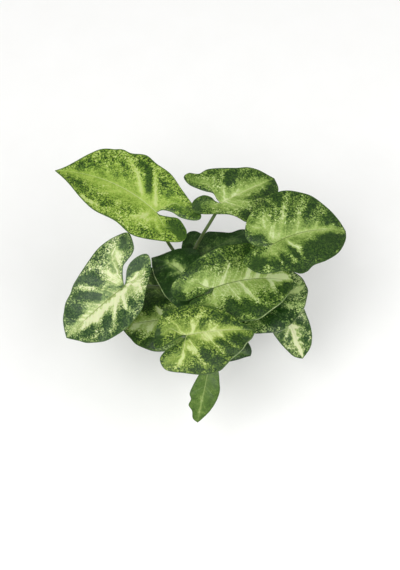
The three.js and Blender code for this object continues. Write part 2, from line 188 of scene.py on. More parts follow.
class Sketch:
    """A node tree in the making. Each method adds nodes and gives back their result's socket."""

    def __init__(self, tree: bpy.types.NodeTree) -> None:
        """Starts to fill a tree."""
        self.tree = tree

    def add(self, kind: str, **settings: object) -> bpy.types.Node:
        """A new node of a kind, with its settings."""
        node = self.tree.nodes.new(kind)
        for name, value in settings.items():
            setattr(node, name, value)
        return node

    def feed(self, socket: Socket, value: Value) -> None:
        """Links a socket to another one, or sets its own value."""
        if isinstance(value, bpy.types.NodeSocket):
            self.tree.links.new(value, socket)
        else:
            socket.default_value = value

    def dress(self, shader: bpy.types.Node, colour: Value, rough: Value, normal: Value) -> None:
        """Feeds a shader its colour, its roughness and its normal."""
        for name, value in (("Base Color", colour), ("Roughness", rough), ("Normal", normal)):
            self.feed(shader.inputs[name], value)

    def maths(self, how: str, *terms: Value) -> Socket:
        """The result of a Math node."""
        node = self.add("ShaderNodeMath", operation=how)
        for socket, term in zip(node.inputs, terms):
            self.feed(socket, term)
        return node.outputs[0]

    def plus(self, *terms: Value) -> Socket:
        """The sum of several terms."""
        total = terms[0]
        for term in terms[1:]:
            total = self.maths("ADD", total, term)
        return total

    def times(self, *terms: Value) -> Socket:
        """The product of several terms."""
        total = terms[0]
        for term in terms[1:]:
            total = self.maths("MULTIPLY", total, term)
        return total

    def less(self, value: Value, part: Value) -> Socket:
        """What is left of a value when a part is taken off."""
        return self.maths("SUBTRACT", value, part)

    def inverse(self, value: Value) -> Socket:
        """One less the value."""
        return self.less(1.0, value)

    def step(self, value: Value, low: Value, high: Value) -> Socket:
        """A soft step from 0 at low to 1 at high."""
        node = self.add("ShaderNodeMapRange", interpolation_type="SMOOTHSTEP")
        for socket, term in zip(node.inputs, (value, low, high, 0.0, 1.0)):
            self.feed(socket, term)
        return node.outputs[0]

    def fade(self, value: Value, low: Value, high: Value) -> Socket:
        """A soft step from 1 at low to 0 at high."""
        return self.inverse(self.step(value, low, high))

    def tint(self, share: Value, low: Value, high: Value) -> Socket:
        """A colour between two colours."""
        node = self.add("ShaderNodeMix", data_type="RGBA")
        for index, term in ((0, share), (6, low), (7, high)):
            self.feed(node.inputs[index], term)
        return node.outputs[2]

    def noise(self, place: Value, size: float, detail: float = 2.0, rough: float = 0.5) -> Socket:
        """Noise from 0 to 1 whose lumps are about `size` millimetres."""
        node = self.add("ShaderNodeTexNoise")
        settings = {"Vector": place, "Scale": 1 / size, "Detail": detail, "Roughness": rough}
        for name, term in settings.items():
            self.feed(node.inputs[name], term)
        return node.outputs[0]

    def swing(self, place: Value, size: float, detail: float = 2.0) -> Socket:
        """Noise that swings about 0, by about 0.2 each way."""
        return self.less(self.noise(place, size, detail), 0.5)

    def parts(self, vector: Value) -> tuple[Socket, Socket, Socket]:
        """The x, y and z of a vector."""
        node = self.add("ShaderNodeSeparateXYZ")
        self.feed(node.inputs[0], vector)
        return node.outputs[0], node.outputs[1], node.outputs[2]

    def scaled(self, vector: Value, share: Value) -> Socket:
        """A vector whose length is multiplied."""
        node = self.add("ShaderNodeVectorMath", operation="SCALE")
        self.feed(node.inputs[0], vector)
        self.feed(node.inputs["Scale"], share)
        return node.outputs[0]

    def cell_shade(self, place: Value, size: float) -> Socket:
        """A value from -0.5 to 0.5 that is one and the same over each small cell."""
        node = self.add("ShaderNodeTexVoronoi", feature="F1")
        self.feed(node.inputs["Vector"], place)
        self.feed(node.inputs["Scale"], 1 / size)
        return self.less(self.parts(node.outputs["Color"])[0], 0.5)

    def ramp(self, share: Value, *stops: tuple[float, Colour]) -> Socket:
        """A colour ramp with a stop at each place."""
        node = self.add("ShaderNodeValToRGB")
        stripes = node.color_ramp.elements
        while len(stripes) < len(stops):
            stripes.new(1.0)
        for stripe, (place, colour) in zip(stripes, stops):
            stripe.position = place
            stripe.color = colour
        self.feed(node.inputs[0], share)
        return node.outputs[0]

    def place(self) -> Socket:
        """The object's own coordinates in millimetres."""
        return self.scaled(self.add("ShaderNodeTexCoord").outputs["Object"], 1 / MM)

    def attribute(self, name: str) -> tuple[Socket, Socket, Socket]:
        """The three parts of a vector attribute of the mesh."""
        return self.parts(self.add("ShaderNodeAttribute", attribute_name=name).outputs[1])

    def bump(self, height: Value, distance: float, strength: float = 1.0) -> Socket:
        """A normal from a height of 0 to 1 that stands for `distance` millimetres."""
        node = self.add("ShaderNodeBump")
        settings = {"Strength": strength, "Distance": distance * MM, "Height": height}
        for name, term in settings.items():
            self.feed(node.inputs[name], term)
        return node.outputs[0]


def surface(
    name: str, **constants: float | Triple
) -> tuple[bpy.types.Material, Sketch, bpy.types.Node]:
    """A material with a Principled shader.

    Args:
        name: The material's name.
        constants: Values of the shader's own sockets, with underscores for spaces.

    Returns:
        The material, a sketch of its tree and its shader node.
    """
    material = bpy.data.materials.new(name)
    material.use_nodes = True
    material.node_tree.nodes.clear()
    sketch = Sketch(material.node_tree)
    shader = sketch.add("ShaderNodeBsdfPrincipled")
    sketch.feed(sketch.add("ShaderNodeOutputMaterial").inputs[0], shader.outputs[0])
    for key, value in constants.items():
        shader.inputs[key.replace("_", " ")].default_value = value
    return material, sketch, shader


# --------------------------------------------------------------------------------------------------
# Grown rods and scattered crumbs, as geometry nodes
# --------------------------------------------------------------------------------------------------


class Growth:
    """A geometry node tree with named inputs, and the way to grow a mesh with it."""

    def __init__(self, name: str, inputs: dict[str, tuple[str, object]]) -> None:
        """Starts a tree.

        Args:
            name: The tree's name.
            inputs: Each input's kind and starting value, or None for no value.
        """
        self.tree = bpy.data.node_groups.new(name, "GeometryNodeTree")
        sockets = self.tree.interface
        sockets.new_socket("Shape", in_out="INPUT", socket_type="NodeSocketGeometry")
        for label, (kind, value) in inputs.items():
            socket = sockets.new_socket(label, in_out="INPUT", socket_type=f"NodeSocket{kind}")
            if value is not None:
                socket.default_value = value
        sockets.new_socket("Shape", in_out="OUTPUT", socket_type="NodeSocketGeometry")
        self.sketch = Sketch(self.tree)
        self.start = self.sketch.add("NodeGroupInput").outputs
        self.end = self.sketch.add("NodeGroupOutput").inputs

    def chain(
        self, geometry: Socket, kind: str, settings: dict[str, object] | None = None,
        **values: Value,
    ) -> Socket:
        """Adds a node whose first input is the geometry so far.

        Args:
            geometry: The geometry so far.
            kind: The node's kind.
            settings: The node's own settings.
            values: Values or links of its sockets, with underscores for spaces.

        Returns:
            The geometry after the new node.
        """
        node = self.sketch.add(kind, **(settings or {}))
        self.sketch.feed(node.inputs[0], geometry)
        for label, value in values.items():
            self.sketch.feed(node.inputs[label.replace("_", " ")], value)
        return node.outputs[0]

    def roughen(self, geometry: Socket, scale: float, amount: Value) -> Socket:
        """Pushes a surface in and out by noise.

        Args:
            geometry: The geometry so far.
            scale: The noise's lumps in a metre.
            amount: How far a full swing of the noise pushes the surface.

        Returns:
            The rough geometry.
        """
        lumps = self.sketch.add("ShaderNodeTexNoise")
        lumps.inputs["Scale"].default_value = scale
        push = self.sketch.times(self.sketch.less(lumps.outputs[0], 0.5), amount)
        outward = self.sketch.add("GeometryNodeInputNormal").outputs[0]
        offset = self.sketch.scaled(outward, push)
        return self.chain(geometry, "GeometryNodeSetPosition", Offset=offset)

    def close(self, geometry: Socket) -> None:
        """Ends the tree: instances become real and get the material."""
        real = self.chain(geometry, "GeometryNodeRealizeInstances")
        material = self.start["Material"]
        dressed = self.chain(real, "GeometryNodeSetMaterial", Material=material)
        self.sketch.feed(self.end[0], dressed)

    def grow(self, name: str, seedling: bpy.types.Mesh, **values: object) -> bpy.types.Object:
        """Grows a seedling mesh into a plain mesh object.

        Args:
            name: The new object's name.
            seedling: The mesh that goes into the tree.
            values: The tree's inputs, with underscores for spaces.

        Returns:
            The object, with no modifier left on it.
        """
        piece = make_object(name, seedling)
        modifier = piece.modifiers.new("growth", "NODES")
        modifier.node_group = self.tree
        for item in self.tree.interface.items_tree:
            label = item.name.replace(" ", "_")
            if item.in_out == "INPUT" and label in values:
                modifier[item.identifier] = values[label]
        apply_modifier(piece, modifier)
        bpy.data.meshes.remove(seedling)
        return piece


def rod_growth() -> Growth:
    """The tree that turns a line into a tapered rod with a flared foot and rings along it."""
    growth = Growth("tapered_rod", {
        "Radius": ("Float", 0.002),
        "Tip Share": ("Float", 0.8),
        "Flare": ("Float", 0.4),
        "Flare Reach": ("Float", 0.3),
        "Ring Height": ("Float", 0.0),
        "Ring Spacing": ("Float", 0.01),
        "Wobble": ("Float", 0.0001),
        "Round From": ("Float", 0.97),
        "Steps": ("Int", 48),
        "Sides": ("Int", 16),
        "Material": ("Material", None),
    })
    sketch, start = growth.sketch, growth.start
    ring_sharpness, least_dome, lumps_per_metre = 8.0, 0.02, 160.0
    line = growth.chain(start["Shape"], "GeometryNodeMeshToCurve")
    line = growth.chain(line, "GeometryNodeResampleCurve", Count=start["Steps"])
    along = sketch.add("GeometryNodeSplineParameter").outputs
    factor, spacing, round_from = along["Factor"], start["Ring Spacing"], start["Round From"]

    taper = sketch.plus(1.0, sketch.times(factor, sketch.less(start["Tip Share"], 1.0)))
    foot = sketch.fade(factor, 0.0, start["Flare Reach"])
    flare = sketch.plus(1.0, sketch.times(foot, start["Flare"]))
    beat = sketch.maths("PINGPONG", along["Length"], sketch.times(spacing, 0.5))
    nearness = sketch.maths("DIVIDE", sketch.times(beat, 2.0), spacing)
    ring = sketch.times(sketch.maths("POWER", nearness, ring_sharpness), start["Ring Height"])
    beyond = sketch.maths("MAXIMUM", sketch.less(factor, round_from), 0.0)
    beyond = sketch.maths("DIVIDE", beyond, sketch.inverse(round_from))
    left = sketch.maths("MAXIMUM", sketch.inverse(sketch.times(beyond, beyond)), least_dome)
    dome = sketch.maths("SQRT", left)
    radius = sketch.times(sketch.plus(sketch.times(start["Radius"], taper, flare), ring), dome)

    marked = growth.chain(
        line, "GeometryNodeStoreNamedAttribute", {"data_type": "FLOAT", "domain": "POINT"},
        Name="along", Value=factor,
    )
    section = sketch.add("GeometryNodeCurvePrimitiveCircle")
    sketch.feed(section.inputs["Resolution"], start["Sides"])
    section.inputs["Radius"].default_value = 1.0
    rod = growth.chain(
        marked, "GeometryNodeCurveToMesh", Scale=radius, Fill_Caps=True,
        Profile_Curve=section.outputs[0],
    )
    rod = growth.roughen(rod, lumps_per_metre, start["Wobble"])
    growth.close(growth.chain(rod, "GeometryNodeSetShadeSmooth"))
    return growth


def crumb_growth() -> Growth:
    """The tree that scatters rough crumbs over a surface."""
    growth = Growth("scattered_crumbs", {
        "Density": ("Float", 100000.0),
        "Seed": ("Int", 1),
        "Smallest": ("Float", 0.0005),
        "Largest": ("Float", 0.002),
        "Flatness": ("Float", 0.6),
        "Material": ("Material", None),
    })
    sketch, start = growth.sketch, growth.start
    breadth, most_tilt, lumps_per_metre = 0.75, 0.8, 700.0
    points = growth.chain(
        start["Shape"], "GeometryNodeDistributePointsOnFaces", {"distribute_method": "RANDOM"},
        Density=start["Density"], Seed=start["Seed"],
    )
    crumb = sketch.add("GeometryNodeMeshIcoSphere")
    crumb.inputs["Radius"].default_value = 1.0
    crumb.inputs["Subdivisions"].default_value = 2
    size = sketch.add("FunctionNodeRandomValue", data_type="FLOAT")
    sketch.feed(size.inputs[2], start["Smallest"])
    sketch.feed(size.inputs[3], start["Largest"])
    sketch.feed(size.inputs["Seed"], start["Seed"])
    form = sketch.add("ShaderNodeCombineXYZ")
    for socket, share in zip(form.inputs, (1.0, breadth, start["Flatness"])):
        sketch.feed(socket, sketch.times(size.outputs[1], share))
    turn = sketch.add("FunctionNodeRandomValue", data_type="FLOAT_VECTOR")
    turn.inputs[1].default_value = (most_tilt, most_tilt, 2 * math.pi)
    sketch.feed(turn.inputs["Seed"], sketch.plus(start["Seed"], 1.0))
    crumbs = growth.chain(
        points, "GeometryNodeInstanceOnPoints", Instance=crumb.outputs[0],
        Rotation=turn.outputs[0], Scale=form.outputs[0],
    )
    real = growth.chain(crumbs, "GeometryNodeRealizeInstances")
    growth.close(growth.roughen(real, lumps_per_metre, start["Largest"]))
    return growth


# --------------------------------------------------------------------------------------------------
# Finishes
# --------------------------------------------------------------------------------------------------

# How far light travels in leaf and stalk, in red, green and blue.
LEAF_GLOW = {"Subsurface_Scale": 0.001, "Subsurface_Radius": (0.4, 1.0, 0.2)}


@dataclass(frozen=True)
class Palette:
    """The greens of a blade, from its darkest blotches to its palest bands."""

    deep: int
    dark: int
    middle: int
    light: int
    pale: int
    cream: int

    def stops(self) -> list[tuple[float, Colour]]:
        """The colours as stops of a ramp of tones."""
        places = (0.0, 0.2, 0.42, 0.62, 0.82, 1.0)
        shades = (self.deep, self.dark, self.middle, self.light, self.pale, self.cream)
        return [(place, paint(shade, LEAF_SHARE)) for place, shade in zip(places, shades)]


@dataclass(frozen=True)
class BladeFinish:
    """How a leaf blade is coloured. Tones run from 0, its darkest green, to 1, cream.

    What ends in `pale` or `dark` is added to the tone or taken off it, and a band's width is in
    millimetres. `vein_from` is where, out from the midrib, a side vein's pale band starts.
    """

    palette: Palette
    tone: float = 0.5
    midrib_band: float = 6.0
    midrib_pale: float = 0.2
    vein_band: float = 3.0
    vein_pale: float = 0.2
    vein_from: float = 0.1
    inner_pale: float = 0.12
    outer_dark: float = 0.12
    blotch: float = 0.15
    darkest: float = 0.1
    feather: float = 0.07
    cloud: float = 1.0
    speckle: float = 0.6
    gloss: float = 0.42
    midrib_line: int = 0xC9D68E
    vein_line: float = 0.18
    slot: str = "leaf_variegated"

    under: int = 0x8FA873
    # How far in from the margin the painted rim highlight reaches, in millimetres, and its colour.
    rim_highlight_width: float = 0.85
    edge_line: int = 0xC4D69A
    line_share: float = 0.85
    fine_size: float = 1.6
    medium_size: float = 4.5
    broad_size: float = 14.0
    cell_size: float = 0.95
    minor_veins: float = 4.0

    def material(self, name: str) -> bpy.types.Material:
        """The blade's material, which reads the attributes that a blade's mesh carries."""
        material, sketch, shader = surface(
            name, IOR=1.42, Subsurface_Weight=0.1, Specular_IOR_Level=0.4, **LEAF_GLOW,
        )
        plus, times, step, fade = sketch.plus, sketch.times, sketch.step, sketch.fade
        place = sketch.place()
        number, outward, gap = sketch.attribute("vein_lines")
        from_vein, from_margin, under = sketch.attribute("blade_reach")
        patch, strength, taper = sketch.attribute("blade_tone")
        # How strongly the painted highlight along the rim shows at each place.
        lit = sketch.attribute("blade_edge")[0]
        fine = sketch.swing(place, self.fine_size, 2.0)
        medium = sketch.swing(place, self.medium_size, 3.0)
        broad = sketch.swing(place, self.broad_size, 2.0)
        cell = sketch.cell_shade(place, self.cell_size)

        # How far the nearest side vein is, and the nearest of the small veins between them.
        bent = plus(number, times(medium, 0.12))
        beat = sketch.maths("PINGPONG", bent, 0.5)
        from_lateral = times(beat, gap)
        minor_beat = sketch.maths("PINGPONG", times(bent, self.minor_veins), 0.5)
        minor = times(minor_beat, gap, 1 / self.minor_veins)

        # Pale bands with frayed edges along the midrib and the side veins.
        fray = plus(times(medium, 6.0), times(fine, 3.0))
        rib_edge = sketch.maths("DIVIDE", plus(from_vein, fray), plus(taper, 0.05))
        rib_band = fade(rib_edge, 0.0, self.midrib_band)
        vein_band = times(
            fade(plus(from_lateral, times(fray, 0.4)), 0.0, self.vein_band), strength,
            fade(outward, 0.55, 1.05), step(from_vein, self.vein_from * 0.2, self.vein_from),
        )
        feather = times(fade(minor, 0.0, 1.3), sketch.inverse(outward), self.feather)

        # The tone: paler towards the midrib, darker towards the margin and between the veins.
        zone = plus(outward, times(medium, 0.7), times(broad, 0.5))
        between = times(step(beat, 0.1, 0.4), step(zone, 0.25, 0.6))
        tone = plus(
            self.tone, times(patch, 1.25), times(rib_band, self.midrib_pale),
            times(vein_band, self.vein_pale), feather, times(between, -self.blotch),
            times(fade(zone, 0.1, 0.65), self.inner_pale),
            times(step(zone, 0.4, 0.85), -self.outer_dark),
            times(medium, plus(0.5, times(step(zone, 0.1, 0.5), 0.7)), self.cloud),
            times(broad, 0.4 * self.cloud),
        )
        tone = sketch.maths("SMOOTH_MAX", tone, self.darkest, 0.12)

        # Thin pale lines on the side veins, and the speckle, which is calmer where it's pale, in
        # the darkest blotches and near the midrib.
        small = times(fade(minor, 0.05, 0.3), sketch.inverse(outward), 0.3)
        lateral = times(fade(from_lateral, 0.15, 0.75), fade(outward, 0.5, 0.98), strength)
        tone = plus(tone, times(sketch.maths("MAXIMUM", lateral, small), self.vein_line))
        mottle = times(
            plus(times(cell, 0.88), fine),
            sketch.inverse(times(step(tone, 0.55, 0.95), 0.7)),
            plus(0.4, times(step(tone, 0.08, 0.35), 0.6)),
            plus(0.35, times(step(zone, 0.15, 0.55), 0.65)), self.speckle,
        )
        tone = sketch.maths("MAXIMUM", plus(tone, mottle), 0.0)
        colour = sketch.ramp(tone, *self.palette.stops())

        # The midrib's line, the darker margin, a painted highlight along parts of its rim, and the
        # underside.
        width = plus(0.35, times(taper, 0.6))
        midrib = times(fade(from_vein, 0.1, width), step(taper, 0.15, 0.6))
        margin = fade(plus(from_margin, times(medium, 1.5)), 0.5, 1.8)
        rim = times(
            fade(from_margin, self.rim_highlight_width * 0.4, self.rim_highlight_width), lit,
            plus(0.75, times(medium, 3.0)),
        )
        for share, over in (
            (times(midrib, self.line_share), paint(self.midrib_line, LEAF_SHARE)),
            (times(margin, self.line_share), paint(self.palette.dark, LEAF_SHARE)),
            (rim, paint(self.edge_line)),
            (times(under, 0.7), paint(self.under, LEAF_SHARE)),
        ):
            colour = sketch.tint(share, colour, over)

        rough = plus(self.gloss, times(medium, 0.2), times(under, 0.2))
        relief = plus(
            times(lateral, -0.5), times(small, -0.8), times(midrib, -0.7), times(cell, 0.12),
            times(fine, 0.4), times(medium, 0.8),
        )
        sketch.dress(shader, colour, rough, sketch.bump(relief, 0.5, 0.5))
        return material


@dataclass(frozen=True)
class RodFinish:
    """The skin of a stalk or a stem, from its foot to its tip."""

    name: str
    foot: Colour
    middle: Colour
    tip: Colour
    streak: Colour
    roughness: float = 0.45
    streak_size: float = 0.8
    streak_stretch: float = 0.12
    fleck_size: float = 3.0

    def material(self) -> bpy.types.Material:
        """The material, which reads how far along the rod a point is."""
        material, sketch, shader = surface(
            self.name, IOR=1.45, Subsurface_Weight=0.08, **LEAF_GLOW
        )
        place = sketch.place()
        along = sketch.add("ShaderNodeAttribute", attribute_name="along").outputs[2]
        stretched = sketch.add("ShaderNodeVectorMath", operation="MULTIPLY")
        sketch.feed(stretched.inputs[0], place)
        stretched.inputs[1].default_value = (1.0, 1.0, self.streak_stretch)
        streaks = sketch.noise(stretched.outputs[0], self.streak_size, 3.0, 0.6)
        flecks = sketch.noise(place, self.fleck_size, 2.0, 0.6)
        colour = sketch.ramp(
            sketch.plus(along, sketch.times(sketch.less(flecks, 0.5), 0.3)),
            (0.0, self.foot), (0.45, self.middle), (1.0, self.tip),
        )
        colour = sketch.tint(sketch.step(streaks, 0.55, 0.8), colour, self.streak)
        rough = sketch.plus(self.roughness, sketch.times(flecks, 0.12))
        sketch.dress(shader, colour, rough, sketch.bump(streaks, 0.2, 0.5))
        return material


@dataclass(frozen=True)
class GrainFinish:
    """A rough, crumbly finish of two colours, for compost, bark and perlite."""

    name: str
    low: Colour
    high: Colour
    grain: float
    roughness: float = 0.92

    def material(self) -> bpy.types.Material:
        """The material."""
        material, sketch, shader = surface(self.name, IOR=1.4)
        place = sketch.place()
        grain = sketch.noise(place, self.grain, 4.0, 0.7)
        lumps = sketch.noise(place, self.grain * 4)
        mixed = sketch.plus(sketch.times(grain, 0.7), sketch.times(lumps, 0.3))
        colour = sketch.tint(sketch.step(mixed, 0.36, 0.64), self.low, self.high)
        rough = sketch.plus(self.roughness, sketch.times(grain, -0.12))
        sketch.dress(shader, colour, rough, sketch.bump(grain, 0.5, 0.8))
        return material


@dataclass(frozen=True)
class PotFinish:
    """Matte moulded plastic with a fine spark texture, a few scuffs and dust near its foot."""

    name: str = "moulded_plastic"
    body: Colour = paint(0x202423)
    worn: Colour = paint(0x3A3E3B)
    dust: Colour = paint(0x6B6152)
    spark_size: float = 0.5
    scuff_size: float = 9.0
    dust_height: float = 26.0

    def material(self) -> bpy.types.Material:
        """The material."""
        material, sketch, shader = surface(self.name, IOR=1.49)
        place = sketch.place()
        spark = sketch.noise(place, self.spark_size, 2.0, 0.6)
        scuff = sketch.noise(place, self.scuff_size, 5.0, 0.7)
        colour = sketch.tint(sketch.step(scuff, 0.55, 0.75), self.body, self.worn)
        low = sketch.fade(sketch.parts(place)[2], 0.0, self.dust_height)
        dusty = sketch.times(low, sketch.step(scuff, 0.4, 0.7), 0.35)
        colour = sketch.tint(dusty, colour, self.dust)
        rough = sketch.plus(0.46, sketch.times(scuff, 0.2))
        sketch.dress(shader, colour, rough, sketch.bump(spark, 0.12, 0.5))
        return material


YELLOW_GREENS = Palette(0x23420A, 0x46691A, 0x74952E, 0x98B744, 0xB6D160, 0xD2E28E)
GREENS = Palette(0x19380A, 0x385818, 0x648330, 0x88A54A, 0xACC66A, 0xDAEAA8)
OLIVE_GREENS = Palette(0x1C3A08, 0x3A5A16, 0x67842C, 0x8CA644, 0xB0C660, 0xDCEA9C)
GREY_GREENS = Palette(0x22441E, 0x44642E, 0x76944E, 0x9EB66A, 0xCADC90, 0xF6FCC8)
DARK_GREENS = Palette(0x18380C, 0x284918, 0x42622C, 0x648240, 0x90AC5C, 0xC2D888)
YOUNG_GREENS = Palette(0x3C5720, 0x50702A, 0x5F8034, 0x6D8C3C, 0x8DA756, 0xB8CE84)


class Blade(Enum):
    """The leaf colourings of this plant."""

    YELLOW_GREEN = BladeFinish(
        YELLOW_GREENS, tone=0.58, midrib_band=7.0, midrib_pale=0.06, vein_band=4.0, vein_pale=0.4,
        vein_from=8.0, inner_pale=0.02, outer_dark=0.06, blotch=0.1, feather=0.02, cloud=0.7,
        speckle=0.95, midrib_line=0xC6D888, vein_line=0.05,
    )
    MID_GREEN = BladeFinish(
        GREENS, tone=0.52, midrib_band=4.0, midrib_pale=0.1, vein_band=4.0, inner_pale=0.06,
        outer_dark=0.08, cloud=0.6, speckle=0.85, vein_line=0.08,
    )
    GREEN = BladeFinish(
        GREENS, tone=0.49, midrib_band=5.0, midrib_pale=0.12, vein_band=5.0, vein_pale=0.24,
        vein_from=6.0, inner_pale=0.06, outer_dark=0.08, blotch=0.12, feather=0.04, cloud=0.7,
        speckle=0.95, midrib_line=0x76893F, vein_line=0.04,
    )
    CREASED_GREEN = BladeFinish(
        OLIVE_GREENS, midrib_band=4.0, midrib_pale=0.1, inner_pale=0.06, outer_dark=0.08,
        feather=0.05, cloud=0.55, speckle=0.9, vein_line=0.13,
    )
    PALE_CENTRE = BladeFinish(
        GREENS, tone=0.54, midrib_pale=0.05, outer_dark=0.1, cloud=0.7, speckle=0.95,
        midrib_line=0x66793C, vein_line=0.13,
    )
    CREAM_VEINED = BladeFinish(
        GREY_GREENS, tone=0.57, midrib_band=4.0, midrib_pale=0.08, vein_band=3.5, vein_pale=0.14,
        inner_pale=0.1, blotch=0.12, feather=0.14, cloud=0.7, speckle=1.05, midrib_line=0x8A9A50,
        vein_line=0.12,
    )
    GREY_GREEN = BladeFinish(
        GREY_GREENS, midrib_band=3.0, midrib_pale=0.25, outer_dark=0.05, speckle=0.95, gloss=0.32,
        midrib_line=0xE4EFB6, vein_line=0.1,
    )
    GLOSSY_DARK = BladeFinish(
        DARK_GREENS, tone=0.42, midrib_band=3.0, midrib_pale=0.1, vein_pale=0.1, inner_pale=0.05,
        outer_dark=0.05, darkest=0.06, speckle=1.5, gloss=0.28, midrib_line=0x8DA566,
        vein_line=0.12, slot="leaf_dark",
    )
    DARK_GREEN = BladeFinish(
        DARK_GREENS, tone=0.2, midrib_band=2.5, midrib_pale=0.06, vein_pale=0.05, inner_pale=0.04,
        outer_dark=0.05, blotch=0.04, speckle=0.55, gloss=0.36, midrib_line=0x5F7A43,
        vein_line=0.06, slot="leaf_dark",
    )
    YOUNG_GREEN = BladeFinish(
        YOUNG_GREENS, tone=0.4, midrib_band=1.5, midrib_pale=0.1, vein_pale=0.05, inner_pale=0.04,
        outer_dark=0.05, blotch=0.04, speckle=0.38, gloss=0.4, midrib_line=0x9DB569,
        vein_line=0.08, slot="leaf_young",
    )


# --------------------------------------------------------------------------------------------------
# Stems
# --------------------------------------------------------------------------------------------------


@dataclass
class Stem:
    """A short upright stem, rooted in the soil, that carries the leaves' stalks."""

    name: str
    foot: Pair
    head: Pair
    top: float

    foot_radius: float = 3.4
    head_radius: float = 2.6
    root_depth: float = 15.0
    soil_height: float = 70.0
    ring_height: float = 0.45
    ring_spacing: float = 8.5
    wobble: float = 0.5

    def ends(self) -> tuple[np.ndarray, np.ndarray]:
        """The lower and upper end of the stem's axis."""
        low = np.array([*self.foot, self.soil_height - self.root_depth])
        return low, np.array([*self.head, self.top])

    def on_axis(self, height: float) -> tuple[np.ndarray, float]:
        """The point of the axis at a height, and the stem's radius there."""
        low, high = self.ends()
        share = (height - low[2]) / (high[2] - low[2])
        radius = self.foot_radius + (self.head_radius - self.foot_radius) * share
        return low + (high - low) * share, radius

    def build(self, growth: Growth, material: bpy.types.Material) -> None:
        """Grows the stem as a ringed rod."""
        piece = growth.grow(
            f"shoot_{self.name}", make_line("stem_line", np.array(self.ends())),
            Radius=self.foot_radius * MM, Tip_Share=self.head_radius / self.foot_radius,
            Flare=0.0, Flare_Reach=0.2, Ring_Height=self.ring_height * MM,
            Ring_Spacing=self.ring_spacing * MM, Wobble=self.wobble * MM, Round_From=0.95,
            Steps=110, Sides=24, Material=material,
        )
        finish_piece(piece, "stem", f"stem_{self.name}")


STEMS = {
    stem.name: stem
    for stem in (
        Stem("back", foot=(-11, 12), head=(-14, 14), top=106),
        Stem("left", foot=(-14, -6), head=(-18, -8), top=98),
        Stem("front", foot=(0, -17), head=(-1, -21), top=98),
        Stem("right", foot=(15, 0), head=(19, 1), top=104),
    )
}


# --------------------------------------------------------------------------------------------------
# Leaves
# --------------------------------------------------------------------------------------------------

# What frays the edges of a blade's patches: the scale of each noise and its push in millimetres.
FRAYS = ((0.16, 2.2), (0.45, 1.3))

# The noise's own offsets are drawn anew each time unless they are seeded.
FRAY_SEED = 7


@dataclass(frozen=True)
class Vein:
    """A main side vein of a blade, from the midrib or a lobe's middle to the margin."""

    start: Pair
    end: Pair
    strength: float = 1.0


@dataclass(frozen=True)
class Side:
    """One side of a blade. Its outline runs from the tip to the lobe's end and to the joint."""

    outer: list[Pair]
    inner: list[Pair]
    veins: tuple[Vein, ...]


@dataclass(frozen=True)
class Patch:
    """A soft paler or darker oval on a blade; most are its variegation, a few are painted shade and
    sheen.

    `long` and `wide` are its half sizes, `turn` is the direction of `long` in degrees from the
    midrib's direction and `tone` is what is added to the blade's tone.
    """

    x: float
    y: float
    long: float
    wide: float
    turn: float
    tone: float

    def weight(self, places: np.ndarray) -> np.ndarray:
        """The patch's tone at each place, which fades to nothing beyond its edge."""
        turn = math.radians(self.turn)
        dx, dy = places[..., 0] - self.x, places[..., 1] - self.y
        along = dx * math.cos(turn) + dy * math.sin(turn)
        across = dy * math.cos(turn) - dx * math.sin(turn)
        return self.tone * (1 - smooth(np.hypot(along / self.long, across / self.wide), 0.4, 1.4))


@dataclass(frozen=True)
class StalkRoute:
    """Where a leaf's stalk leaves its stem, how thick it is, and the two handles of its curve."""

    stem: str
    foot: float
    radius: float
    start: Triple
    end: Triple


@dataclass
class SideGrid:
    """Places on one side of a blade, by ray and by ring, with what its relief and material need."""

    places: np.ndarray
    number: np.ndarray
    outward: np.ndarray
    gap: np.ndarray
    from_vein: np.ndarray
    from_margin: np.ndarray
    tone: np.ndarray
    strength: np.ndarray
    taper: np.ndarray
    # How strongly the painted rim highlight shows at each place.
    edge: np.ndarray

    def columns(self) -> np.ndarray:
        """The values for the material, a row for each place."""
        layers = (
            self.number, self.outward, self.gap, self.from_vein, self.from_margin, self.tone,
            self.strength, self.taper, self.edge,
        )
        shape = self.number.shape
        return np.stack([np.broadcast_to(layer, shape).ravel() for layer in layers], axis=1)


def frayed(places: np.ndarray, seed: float) -> np.ndarray:
    """The places, each pushed to and fro a little, so that patches there get frayed edges."""
    noise.seed_set(FRAY_SEED)
    moved = places.copy()
    for spot in moved.reshape(-1, 2):
        here = Vector((spot[0], spot[1], seed))
        push = sum((noise.noise_vector(here * scale) * reach for scale, reach in FRAYS), Vector())
        spot += (push.x, push.y)
    return moved


def evenly(points: np.ndarray, count: int) -> np.ndarray:
    """Points at even distances along a line, both ends included."""
    reach = np.concatenate([[0.0], np.cumsum(np.linalg.norm(np.diff(points, axis=0), axis=1))])
    wanted = np.linspace(0, reach[-1], count + 1)
    return np.stack([np.interp(wanted, reach, points[:, i]) for i in (0, 1)], axis=1)


def counted(line: np.ndarray, marks: list[Pair]) -> np.ndarray:
    """How many marks lie behind each point of a line; a whole number stands exactly at a mark.

    Args:
        line: Points in order.
        marks: Places near the line, in the same order.

    Returns:
        A count for each point, half a step away from a whole number at both ends.
    """
    at = [0]
    for mark in marks:
        nearest = int(np.argmin(np.linalg.norm(line - np.array(mark), axis=1)))
        at.append(min(max(nearest, at[-1] + 2), len(line) - 2 - len(marks) + len(at)))
    counts = [0.5, *range(1, len(marks) + 1), len(marks) + 0.5]
    return np.interp(np.arange(len(line)), [*at, len(line) - 1], counts)


